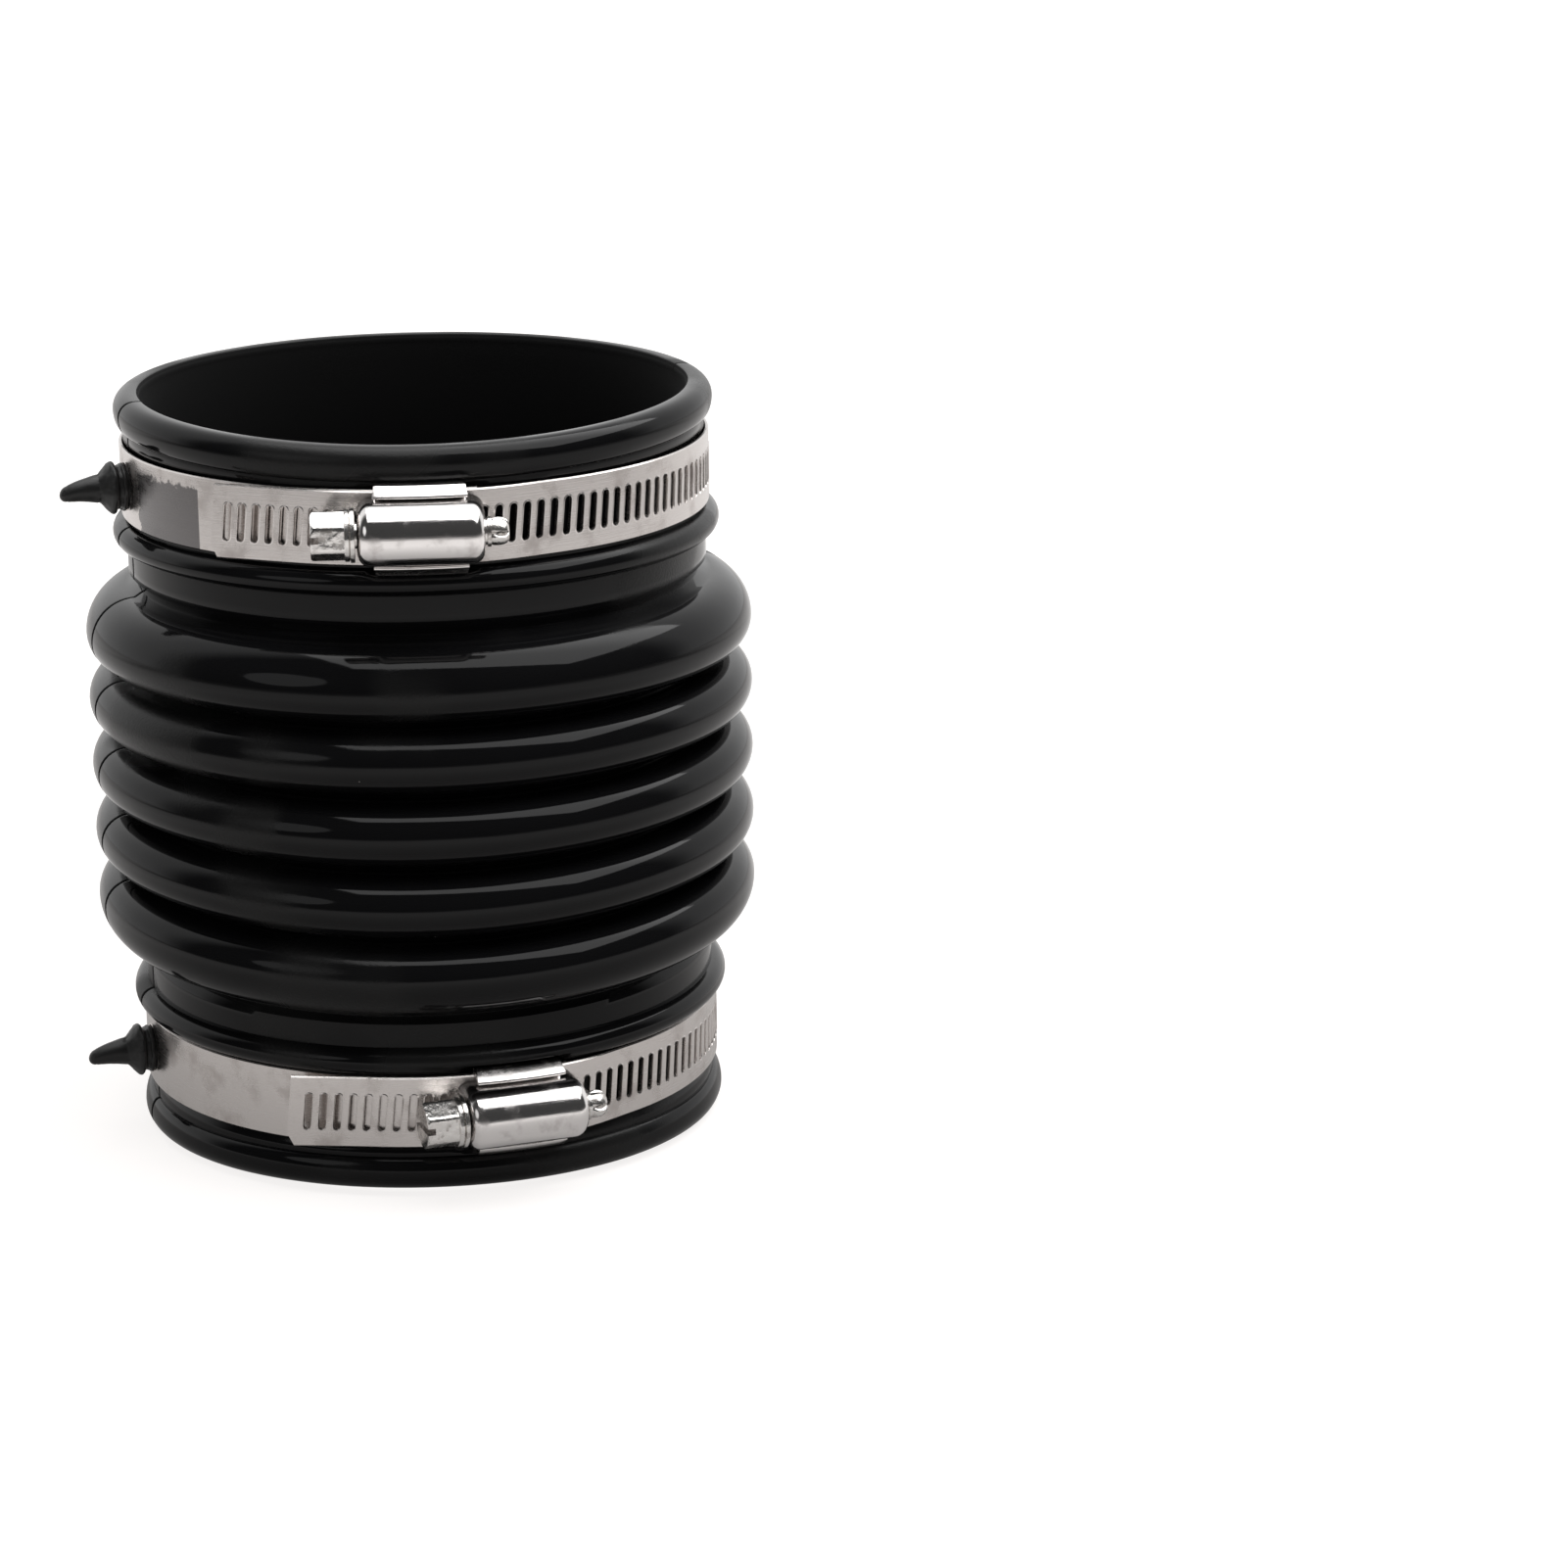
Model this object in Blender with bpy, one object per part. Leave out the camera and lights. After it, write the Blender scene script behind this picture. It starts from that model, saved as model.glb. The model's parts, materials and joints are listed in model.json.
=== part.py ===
"""Air intake bellows hose with two worm-drive band clamps.

All sizes are in metres. The hose stands on its lower rim: its axis is world Z and the rim's
end face is z = 0. The moulding is the same at both ends, so its section is drawn once, as
radii over the depth from an end face, and mirrored about the middle. A clamp is drawn with
its housing at azimuth 0 and its band centred on z = 0, then turned and raised to its place.
"""

import math

import bmesh
import bpy
from mathutils import Matrix, Vector

# Hose: cuff and wall; the other radii below rise above the cuff or lie in from it
HOSE_LENGTH = 0.1256
CUFF_RADIUS = 0.0479
CUFF_WALL = 0.0034
HOSE_SIDES = 24

# Rim: the rounded bead at each end, with a flat end face and a lead-in to the bore
RIM_RISE = 0.00175
RIM_DEPTH = 0.0027
RIM_UNDERCUT_DEPTH = 0.0056
RIM_FLAT_INSET = 0.0019
RIM_FLAT_WIDTH = 0.0010
LIP_INSET = 0.0027
LIP_DEPTH = 0.0018
LEAD_IN_DEPTH = 0.0034
LEDGE_RISE = 0.0003

# Clamp seat and the collar bead behind it
SEAT_CENTRE_DEPTH = 0.01435
SEAT_MARGIN = 0.0004
COLLAR_HEIGHT = 0.0046
COLLAR_BULGE = 0.00265
STEP_RISE = 0.0004
STEP_LENGTH = 0.0044
NECK_INSET = 0.0009
NECK_CHAMFER = 0.0013
NECK_LENGTH = 0.0008

# Bellows: five round convolutions
FOLD_COUNT = 5
FOLD_PITCH = 0.011365
FOLD_RISE = 0.0079
CREST_ROUND = 0.0047
SHOULDER_ROUND = 0.0074
VALLEY_INSET = 0.0015
INNER_FOLD_DEPTH = 0.0020
INNER_FOLD_FLAT = 0.0040

# Retaining nibs: moulded with the hose on its parting line, one through each band
SEAM_AZIMUTH = math.radians(234)
NIB_NECK_RADIUS = 0.0036
NIB_BARB_RADIUS = 0.0041
NIB_BARB_GAP = 0.0004
NIB_BARB_REAR = 0.0006
NIB_BARB_LENGTH = 0.0022
NIB_TAIL_ROOT_RADIUS = 0.0023
NIB_TAIL_TIP_RADIUS = 0.0013
NIB_TAIL_LENGTH = 0.0077
NIB_ROOT_DEPTH = 0.0015
NIB_SIDES = 12

# Clearances between pieces
SEAT_GAP = 0.0003
LAYER_GAP = 0.0003
SHEET_GAP = 0.0003
RUNNING_GAP = 0.0003

# Clamp band: a perforated strip
BAND_WIDTH = 0.012
BAND_THICKNESS = 0.0007
SLOT_PITCH = 0.00245
SLOT_LENGTH = 0.0061
SLOT_WIDTH = 0.0012
SLOTS_PAST_WORM = 31
PLAIN_END_LENGTH = 0.009
RAMP_LENGTH = 0.013
TAIL_LEAVES_AT = 0.022
TAIL_CORNER = 0.001
PLAIN_BEND_ANGLE = math.radians(10)
RAMP_SUMS = 40

# Worm screw
WORM_TIP_RADIUS = 0.00405
THREAD_DEPTH = 0.00095
THREAD_CREST = 0.00045
THREAD_FLANK = math.radians(15)
THREAD_ENGAGEMENT = 0.00045
WORM_LENGTH = 0.012
JOURNAL_RADIUS = 0.0021
SCREW_FLANGE_RADIUS = 0.0043
SCREW_FLANGE_LENGTH = 0.0016
HEX_ACROSS_FLATS = 0.0070
HEX_LENGTH = 0.0053
HEX_CHAMFER = 0.0006
DRIVE_SLOT_WIDTH = 0.0011
DRIVE_SLOT_DEPTH = 0.0013
NOSE_RADIUS = 0.0024
NOSE_RING_LENGTH = 0.0018
NOSE_CONE_LENGTH = 0.0017
NOSE_TIP_RADIUS = 0.0011
SCREW_SIDES = 18

# Housing over the worm, and the saddle that is folded round its feet
HOUSING_LENGTH = 0.020
HOUSING_SHEET = 0.00065
HOUSING_END_ROUND = 0.0008
FOOT_LENGTH = 0.0135
FOOT_SHEET = 0.0007
SECTOR_STEP = math.radians(4.2)
SADDLE_SHEET = 0.0006
SADDLE_LIP = 0.0014

# Where each clamp sits: name, housing azimuth, which end, slip along the seat, tail length
CLAMPS = (
    ("upper", math.radians(310.5), "top", -0.00035, 0.031),
    ("lower", math.radians(325.5), "bottom", 0.00035, 0.0375),
)

# Sizes that follow from those above
BORE_RADIUS = CUFF_RADIUS - CUFF_WALL
RIM_RADIUS = CUFF_RADIUS + RIM_RISE
RIM_FLAT_INNER_RADIUS = CUFF_RADIUS - RIM_FLAT_INSET
LIP_RADIUS = CUFF_RADIUS - LIP_INSET
STEP_RADIUS = CUFF_RADIUS + STEP_RISE
NECK_RADIUS = CUFF_RADIUS - NECK_INSET
FOLD_RADIUS = CUFF_RADIUS + FOLD_RISE
VALLEY_RADIUS = CUFF_RADIUS - VALLEY_INSET
SEAT_START_DEPTH = SEAT_CENTRE_DEPTH - BAND_WIDTH / 2 - SEAT_MARGIN
SEAT_END_DEPTH = SEAT_CENTRE_DEPTH + BAND_WIDTH / 2 + SEAT_MARGIN
COLLAR_CENTRE_DEPTH = SEAT_END_DEPTH + COLLAR_HEIGHT / 2
STEP_END_DEPTH = SEAT_END_DEPTH + COLLAR_HEIGHT + STEP_LENGTH
VALLEY_ROUND = FOLD_PITCH / 2 - CREST_ROUND
FIRST_LAYER = CUFF_RADIUS + SEAT_GAP
SECOND_LAYER = FIRST_LAYER + BAND_THICKNESS + LAYER_GAP
BAND_OUTSIDE = SECOND_LAYER + BAND_THICKNESS
WORM_ROOT_RADIUS = WORM_TIP_RADIUS - THREAD_DEPTH
SCREW_AXIS_RADIUS = BAND_OUTSIDE - THREAD_ENGAGEMENT + WORM_TIP_RADIUS
BARREL_INSIDE = WORM_TIP_RADIUS + RUNNING_GAP
BARREL_RADIUS = BARREL_INSIDE + HOUSING_SHEET
HOUSING_UNDERSIDE = BAND_OUTSIDE + SHEET_GAP
SADDLE_OUTSIDE = FIRST_LAYER - SHEET_GAP
SADDLE_HALF_WIDTH = BAND_WIDTH / 2 + SHEET_GAP + SADDLE_SHEET

# Finishes: name, colour, metallic, roughness
RUBBER = ("moulded_rubber", (0.012, 0.012, 0.013, 1.0), 0.0, 0.28)
BAND_STEEL = ("rolled_band_steel", (0.62, 0.59, 0.57, 1.0), 1.0, 0.30)
HOUSING_STEEL = ("polished_housing_steel", (0.74, 0.72, 0.71, 1.0), 1.0, 0.14)
SADDLE_STEEL = ("folded_saddle_steel", (0.70, 0.68, 0.66, 1.0), 1.0, 0.20)
SCREW_STEEL = ("plated_screw_steel", (0.66, 0.64, 0.62, 1.0), 1.0, 0.24)

MERGE = 1e-6


def clear_scene():
    """Remove every object that the file opened with."""
    for thing in list(bpy.data.objects):
        bpy.data.objects.remove(thing, do_unlink=True)


def finish(name, colour, metallic, roughness):
    """Make a plain Principled material."""
    material = bpy.data.materials.new(name)
    material.use_nodes = True
    shader = material.node_tree.nodes["Principled BSDF"]
    shader.inputs["Base Color"].default_value = colour
    shader.inputs["Metallic"].default_value = metallic
    shader.inputs["Roughness"].default_value = roughness
    return material


def add_object(name, bm, material=None, cutter=False):
    """Turn a bmesh into a linked object; a cutter is hidden and drawn as wire."""
    mesh = bpy.data.meshes.new(name)
    bm.to_mesh(mesh)
    bm.free()
    thing = bpy.data.objects.new(name, mesh)
    bpy.context.scene.collection.objects.link(thing)
    if material:
        mesh.materials.append(material)
    if cutter:
        thing.hide_render = True
        thing.display_type = "WIRE"
    return thing


def combine(thing, other, operation):
    """Join or cut one object with another by an exact Boolean."""
    modifier = thing.modifiers.new(other.name, "BOOLEAN")
    modifier.operation = operation
    modifier.object = other
    modifier.solver = "EXACT"


def smooth(thing, angle=35):
    """Shade round faces smooth and keep the edges sharper than the angle."""
    thing.data.shade_smooth()
    thing.data.set_sharp_from_angle(angle=math.radians(angle))


def ellipse(centre, radii, start, end, steps):
    """Points of an elliptical arc in the section plane, angles in degrees from +radius."""
    points = []
    for i in range(steps + 1):
        angle = math.radians(start + (end - start) * i / steps)
        across = centre[0] + radii[0] * math.cos(angle)
        points.append((across, centre[1] + radii[1] * math.sin(angle)))
    return points


def lathe(profile, sides, closed):
    """Spin a section of (radius, height) points about Z."""
    bm = bmesh.new()
    corners = [bm.verts.new((radius, 0, height)) for radius, height in profile]
    pairs = list(zip(corners, corners[1:]))
    if closed:
        pairs.append((corners[-1], corners[0]))
    edges = [bm.edges.new(pair) for pair in pairs]
    bmesh.ops.spin(
        bm, geom=corners + edges, cent=(0, 0, 0), axis=(0, 0, 1),
        angle=math.tau, steps=sides, use_merge=True,
    )
    bmesh.ops.remove_doubles(bm, verts=bm.verts, dist=MERGE)
    bmesh.ops.recalc_face_normals(bm, faces=bm.faces)
    return bm


def loft(sections):
    """Skin closed sections of equal length, each a list of points, and cap both ends."""
    bm = bmesh.new()
    rings = [[bm.verts.new(point) for point in section] for section in sections]
    count = len(rings[0])
    for ring, following in zip(rings, rings[1:]):
        for i in range(count):
            j = (i + 1) % count
            bm.faces.new((ring[i], ring[j], following[j], following[i]))
    bm.faces.new(rings[0])
    bm.faces.new(rings[-1])
    bmesh.ops.recalc_face_normals(bm, faces=bm.faces)
    return bm


def sector(profile, half_length):
    """Sweep a section of (radius, height) points along the cuff, by a half length each way."""
    half_angle = half_length / CUFF_RADIUS
    steps = math.ceil(2 * half_angle / SECTOR_STEP)
    sections = []
    for i in range(steps + 1):
        turn = Matrix.Rotation(half_angle * (2 * i / steps - 1), 3, "Z")
        sections.append([turn @ Vector((radius, 0, height)) for radius, height in profile])
    return loft(sections)


def rectangle(inner, outer, low, high):
    """A section's four corners."""
    return [(inner, low), (outer, low), (outer, high), (inner, high)]


def fold_depths():
    """Depths of the crests from an end face to the middle."""
    half = (FOLD_COUNT - 1) // 2
    return [HOSE_LENGTH / 2 - FOLD_PITCH * k for k in range(half, -1, -1)]


def outer_half():
    """Outside of the moulding, from the rim's end face to the middle."""
    flat = RIM_FLAT_INNER_RADIUS + RIM_FLAT_WIDTH
    ledge = CUFF_RADIUS + LEDGE_RISE
    undercut = RIM_UNDERCUT_DEPTH - RIM_DEPTH
    points = ellipse((flat, RIM_DEPTH), (RIM_RADIUS - flat, RIM_DEPTH), -90, 0, 3)
    points += ellipse((ledge, RIM_DEPTH), (RIM_RADIUS - ledge, undercut), 0, 90, 2)[1:]
    points += [(ledge, SEAT_START_DEPTH - LEDGE_RISE), (CUFF_RADIUS, SEAT_START_DEPTH)]
    points += collar()
    points += [(STEP_RADIUS, STEP_END_DEPTH), (NECK_RADIUS, STEP_END_DEPTH + NECK_CHAMFER)]
    points += [(NECK_RADIUS, STEP_END_DEPTH + NECK_CHAMFER + NECK_LENGTH)]
    points += outer_folds()
    return points


def collar():
    """The collar bead, from the end of the clamp seat to the stepped cylinder."""
    radii = (COLLAR_BULGE, COLLAR_HEIGHT / 2)
    meets_step = math.degrees(math.acos(STEP_RISE / COLLAR_BULGE))
    return ellipse((CUFF_RADIUS, COLLAR_CENTRE_DEPTH), radii, -90, meets_step, 4)


def outer_folds():
    """Crests and valleys; the first crest has the wider shoulder that runs out of the neck."""
    depths = fold_depths()
    crest = FOLD_RADIUS - CREST_ROUND
    shoulder = FOLD_RADIUS - SHOULDER_ROUND
    valley = VALLEY_RADIUS + VALLEY_ROUND
    points = ellipse((shoulder, depths[0]), (SHOULDER_ROUND, SHOULDER_ROUND), -90, 0, 3)
    points += ellipse((crest, depths[0]), (CREST_ROUND, CREST_ROUND), 0, 90, 2)[1:]
    for depth in depths[1:]:
        between = depth - FOLD_PITCH / 2
        points += ellipse((valley, between), (VALLEY_ROUND, VALLEY_ROUND), -90, -270, 2)
        last = depth == depths[-1]
        arc = (-90, 0, 2) if last else (-90, 90, 4)
        points += ellipse((crest, depth), (CREST_ROUND, CREST_ROUND), *arc)
    return points


def inner_half():
    """Inside, from the rim's end face to the middle; the folds are only a shallow wave there."""
    depths = fold_depths()
    flat = RIM_FLAT_INNER_RADIUS
    points = ellipse((flat, LIP_DEPTH), (LIP_RADIUS - flat, LIP_DEPTH), -90, 0, 2)
    points += [(BORE_RADIUS, LEAD_IN_DEPTH)]
    wave = BORE_RADIUS + INNER_FOLD_DEPTH
    for depth in depths:
        points += [(BORE_RADIUS, depth - FOLD_PITCH / 2), (wave, depth - INNER_FOLD_FLAT / 2)]
        if depth != depths[-1]:
            points += [(wave, depth + INNER_FOLD_FLAT / 2)]
    return points + [(wave, HOSE_LENGTH / 2)]


def mirrored(half):
    """A half section, continued past the middle to the other end."""
    return half + [(radius, HOSE_LENGTH - depth) for radius, depth in reversed(half[:-1])]


def nib_profile():
    """A retaining nib along its own axis, from inside the cuff wall to its tip."""
    root = CUFF_RADIUS - NIB_ROOT_DEPTH
    barb = FIRST_LAYER + BAND_THICKNESS + NIB_BARB_GAP
    widest = barb + NIB_BARB_REAR
    tail = widest + NIB_BARB_LENGTH
    tip = tail + NIB_TAIL_LENGTH - NIB_TAIL_TIP_RADIUS
    points = [(0, root), (NIB_NECK_RADIUS, root), (NIB_NECK_RADIUS, barb)]
    points += [(NIB_BARB_RADIUS, widest), (NIB_TAIL_ROOT_RADIUS, tail)]
    points += ellipse((0, tip), (NIB_TAIL_TIP_RADIUS, NIB_TAIL_TIP_RADIUS), 0, 90, 2)
    return points


def radial_place(azimuth, height):
    """Turns an object's Z axis outwards at an azimuth, through the hose's axis."""
    tip_over = Matrix.Rotation(math.pi / 2, 4, "Y")
    return Matrix.Translation((0, 0, height)) @ Matrix.Rotation(azimuth, 4, "Z") @ tip_over


def clamp_height(end, slip):
    """Height of a band's middle above the lower rim."""
    depth = SEAT_CENTRE_DEPTH + slip
    return HOSE_LENGTH - depth if end == "top" else depth


def make_hose(material):
    """The moulded hose with its two nibs, dented where the saddles press into it."""
    inside = [(radius, depth) for radius, depth in reversed(mirrored(inner_half()))]
    hose = add_object("hose", lathe(mirrored(outer_half()) + inside, HOSE_SIDES, True), material)
    for name, azimuth, end, slip, _ in CLAMPS:
        height = clamp_height(end, slip)
        nib = lathe(nib_profile(), NIB_SIDES, False)
        combine(hose, hidden(name + "_nib", nib, radial_place(SEAM_AZIMUTH, height)), "UNION")
        dent = hidden(name + "_dent", saddle_dent(), clamp_place(azimuth, height))
        combine(hose, dent, "DIFFERENCE")
    smooth(hose)
    return hose


def saddle_dent():
    """Room that a saddle takes in the rubber, with a gap all round it."""
    floor = SADDLE_OUTSIDE - SADDLE_SHEET - SHEET_GAP
    half_width = SADDLE_HALF_WIDTH + SHEET_GAP
    section = rectangle(floor, RIM_RADIUS + COLLAR_BULGE, -half_width, half_width)
    return sector(section, FOOT_LENGTH / 2 + SHEET_GAP)


def clamp_place(azimuth, height):
    """Where a clamp drawn at azimuth 0 and height 0 goes."""
    return Matrix.Translation((0, 0, height)) @ Matrix.Rotation(azimuth, 4, "Z")


def ease(t):
    """Smooth step from 0 to 1."""
    t = min(max(t, 0.0), 1.0)
    return t * t * (3 - 2 * t)


def strip_radius(along):
    """Radius of the strip's middle thickness; it lies on top of its plain end at the worm."""
    drop = ease((along - PLAIN_END_LENGTH - LAYER_GAP) / RAMP_LENGTH)
    lifted = SECOND_LAYER + (FIRST_LAYER - SECOND_LAYER) * drop
    return lifted + BAND_THICKNESS / 2


def ramp_end():
    """Length from the worm's middle at which the strip is down on the cuff."""
    return PLAIN_END_LENGTH + LAYER_GAP + RAMP_LENGTH


def strip_angle(along):
    """Azimuth of a point of the strip, from its length past the worm's middle."""
    if along <= 0:
        return along / strip_radius(0)
    short = min(along, ramp_end())
    step = short / RAMP_SUMS
    angle = sum(step / strip_radius(step * (i + 0.5)) for i in range(RAMP_SUMS))
    return angle + (along - short) / strip_radius(ramp_end())


def strip_length_at(azimuth):
    """Length from the worm's middle to an azimuth beyond the ramp."""
    return ramp_end() + (azimuth - strip_angle(ramp_end())) * strip_radius(ramp_end())


def rolled(along, out, height):
    """Place of a flat blank's point once the blank is rolled round the hose."""
    leaves = -TAIL_LEAVES_AT
    held = max(along, leaves)
    angle = strip_angle(held)
    radius = strip_radius(held) + out - BAND_THICKNESS / 2
    point = Vector((radius * math.cos(angle), radius * math.sin(angle), height))
    straight = min(along - leaves, 0.0)
    return point + straight * Vector((-math.sin(angle), math.cos(angle), 0))


def helix_slope():
    """Sideways run of the thread and of the slots per unit of height."""
    return SLOT_PITCH / (math.tau * (WORM_TIP_RADIUS - THREAD_ENGAGEMENT / 2))


def slot_outline(along):
    """A rounded slot, slanted like the thread."""
    half = SLOT_LENGTH / 2 - SLOT_WIDTH / 2
    points = ellipse((0, half), (SLOT_WIDTH / 2, SLOT_WIDTH / 2), 0, 180, 2)
    points += ellipse((0, -half), (SLOT_WIDTH / 2, SLOT_WIDTH / 2), 180, 360, 2)
    return [(along + x + y * helix_slope(), y) for x, y in points]


def tail_end(tail_length):
    """The slanted tail end with one corner cut, from its upper corner round to its lower one."""
    half = BAND_WIDTH / 2
    lean = half * helix_slope()
    return [
        (-tail_length + lean, half),
        (-tail_length - lean, -half + TAIL_CORNER),
        (-tail_length - lean + TAIL_CORNER, -half),
    ]


def fill_outline(bm, outline, holes):
    """Triangulate a flat outline with holes in it."""
    edges = []
    for loop in [outline] + holes:
        corners = [bm.verts.new((x, y, 0)) for x, y in loop]
        edges += [bm.edges.new((corners[i - 1], corners[i])) for i in range(len(corners))]
    bmesh.ops.triangle_fill(bm, use_beauty=True, edges=edges)


def even_steps(start, end, longest):
    """Places from one end of a stretch to the other, no further apart than a length."""
    steps = math.ceil((end - start) / longest)
    return [start + (end - start) * i / steps for i in range(steps + 1)]


def bend_lines(slots, hole_at, hole, full_length):
    """Where the blank bends: between slots, beside the nib's hole and along the plain part."""
    longest = PLAIN_BEND_ANGLE * strip_radius(ramp_end())
    lines = [along - SLOT_PITCH / 2 for along in slots if along > -TAIL_LEAVES_AT]
    lines += even_steps(slots[-1] + SLOT_PITCH / 2, hole_at - hole - BAND_THICKNESS, longest)
    return lines + even_steps(hole_at + hole + BAND_THICKNESS, full_length, longest)


def punched_blank(tail_length, full_length, hole_at):
    """The flat strip, as long as it is before rolling, with its slots and the nib's hole."""
    half = BAND_WIDTH / 2
    tail_slots = int((tail_length - SLOT_PITCH) / SLOT_PITCH)
    slots = [k * SLOT_PITCH for k in range(-tail_slots, SLOTS_PAST_WORM + 1)]
    hole = NIB_NECK_RADIUS + SHEET_GAP
    holes = [(along, slot_outline(along)) for along in slots]
    holes.append((hole_at, ellipse((hole_at, 0), (hole, hole), 0, 360, NIB_SIDES)[:-1]))
    lines = bend_lines(slots, hole_at, hole, full_length)
    bm = bmesh.new()
    tail = tail_end(tail_length) + [(lines[0], -half), (lines[0], half)]
    fill_outline(bm, tail, [outline for along, outline in holes if along < lines[0]])
    for left, right in zip(lines, lines[1:]):
        inside = [outline for along, outline in holes if left < along < right]
        fill_outline(bm, [(left, half), (left, -half), (right, -half), (right, half)], inside)
    bmesh.ops.remove_doubles(bm, verts=bm.verts, dist=MERGE)
    solid = bmesh.ops.extrude_face_region(bm, geom=bm.faces[:])
    raised = [item for item in solid["geom"] if isinstance(item, bmesh.types.BMVert)]
    bmesh.ops.translate(bm, verts=raised, vec=(0, 0, BAND_THICKNESS))
    bmesh.ops.recalc_face_normals(bm, faces=bm.faces)
    return bm


def make_band(name, place, azimuth, tail_length, material):
    """Punch and roll one clamp band."""
    full_length = strip_length_at(math.tau + PLAIN_END_LENGTH / FIRST_LAYER)
    hole_at = strip_length_at((SEAM_AZIMUTH - azimuth) % math.tau)
    bm = punched_blank(tail_length, full_length, hole_at)
    for corner in bm.verts:
        along, height, out = corner.co
        corner.co = rolled(along, out, height)
    band = add_object(name + "_clamp_band", bm, material)
    band.matrix_world = place
    smooth(band, 25)
    return band


def arch(inset):
    """The housing's section at an inset: straight sides under a round top."""
    radius = BARREL_RADIUS - inset
    foot = SCREW_AXIS_RADIUS - BARREL_RADIUS - WORM_TIP_RADIUS
    top = ellipse((SCREW_AXIS_RADIUS, 0), (radius, radius), -90, 90, 8)
    return [(foot, -radius)] + top + [(foot, radius)]


def lofted_arch(stations):
    """A block skinned through arches, each given as (place along the screw, inset)."""
    return loft([[(x, along, z) for x, z in arch(inset)] for along, inset in stations])


def make_housing(name, place, material):
    """The pressed barrel over the worm, with feet that follow the band's curve."""
    half = HOUSING_LENGTH / 2
    turn = HOUSING_END_ROUND
    shallow = turn * (1 - math.cos(math.radians(45)))
    ends = [(half, turn), (half - shallow, shallow), (half - turn, 0)]
    stations = [(-along, inset) for along, inset in ends] + list(reversed(ends))
    housing = add_object(name + "_clamp_housing", lofted_arch(stations), material)
    inside = half - HOUSING_SHEET
    cavity = [(-inside, HOUSING_SHEET), (inside, HOUSING_SHEET)]
    combine(housing, hidden(name + "_cavity", lofted_arch(cavity), place), "DIFFERENCE")
    for side in (-1, 1):
        foot = sector(foot_section(side), FOOT_LENGTH / 2)
        combine(housing, hidden(f"{name}_foot_{side}", foot, place), "UNION")
    combine(housing, hidden(name + "_bearing", bearing_hole(), place), "DIFFERENCE")
    under = rectangle(CUFF_RADIUS / 2, HOUSING_UNDERSIDE, -BAND_WIDTH, BAND_WIDTH)
    trim = sector(under, HOUSING_LENGTH)
    combine(housing, hidden(name + "_trim", trim, place), "DIFFERENCE")
    housing.matrix_world = place
    smooth(housing, 30)
    return housing


def hidden(name, bm, place):
    """A cutter or an added shape, in its place."""
    thing = add_object(name, bm, cutter=True)
    thing.matrix_world = place
    return thing


def foot_section(side):
    """A foot, from inside the barrel's wall to the band's edge."""
    wall = side * (BARREL_RADIUS - HOUSING_SHEET / 2)
    edge = side * BAND_WIDTH / 2
    low, high = min(wall, edge), max(wall, edge)
    return rectangle(HOUSING_UNDERSIDE - FOOT_SHEET, HOUSING_UNDERSIDE + FOOT_SHEET, low, high)


def bearing_hole():
    """A cylinder along the screw that opens both end walls for its journals."""
    radius = JOURNAL_RADIUS + RUNNING_GAP
    ring = ellipse((SCREW_AXIS_RADIUS, 0), (radius, radius), 0, 360, SCREW_SIDES)[:-1]
    return loft([[(x, along, z) for x, z in ring] for along in (-HOUSING_LENGTH, HOUSING_LENGTH)])


def make_saddle(name, place, material):
    """The plate under the band, folded up past its edges and over the housing's feet."""
    inner = SADDLE_OUTSIDE - SADDLE_SHEET
    lip = HOUSING_UNDERSIDE + FOOT_SHEET + SHEET_GAP
    outer = lip + SADDLE_SHEET
    wide = SADDLE_HALF_WIDTH
    wall = wide - SADDLE_SHEET
    side = [(inner, wide), (outer, wide), (outer, wide - SADDLE_LIP), (lip, wide - SADDLE_LIP)]
    side += [(lip, wall), (SADDLE_OUTSIDE, wall)]
    section = side + [(radius, -height) for radius, height in reversed(side)]
    saddle = add_object(name + "_clamp_saddle", sector(section, FOOT_LENGTH / 2), material)
    saddle.matrix_world = place
    smooth(saddle, 30)
    return saddle


def thread_shape():
    """One thread's section as (along, radius): root, both corners of the crest, root."""
    crest = THREAD_CREST / 2
    base = crest + THREAD_DEPTH * math.tan(THREAD_FLANK)
    left = [(-base, WORM_ROOT_RADIUS), (-crest, WORM_TIP_RADIUS)]
    return left + [(crest, WORM_TIP_RADIUS), (base, WORM_ROOT_RADIUS)]


def worm_rows():
    """Rows of (along, radius) for every column, cut off square at both ends."""
    turns = math.ceil(WORM_LENGTH / 2 / SLOT_PITCH) + 2
    rows = []
    for turn in range(-turns, turns + 1):
        for offset, radius in thread_shape():
            starts = turn * SLOT_PITCH + offset
            rows.append([worm_point(starts, column, radius) for column in range(SCREW_SIDES)])
    return rows


def worm_point(starts, column, radius):
    """One thread point; the crest faces the hose a quarter turn before the first column."""
    along = starts + SLOT_PITCH * (column / SCREW_SIDES + 0.25)
    end = WORM_LENGTH / 2
    if -end < along < end:
        return along, radius
    return min(max(along, -end), end), WORM_ROOT_RADIUS


def column_direction(column):
    """Direction of a column across the screw, right-handed about +Y from +Z."""
    angle = math.tau * column / SCREW_SIDES
    return Vector((math.sin(angle), 0, math.cos(angle)))


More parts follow.
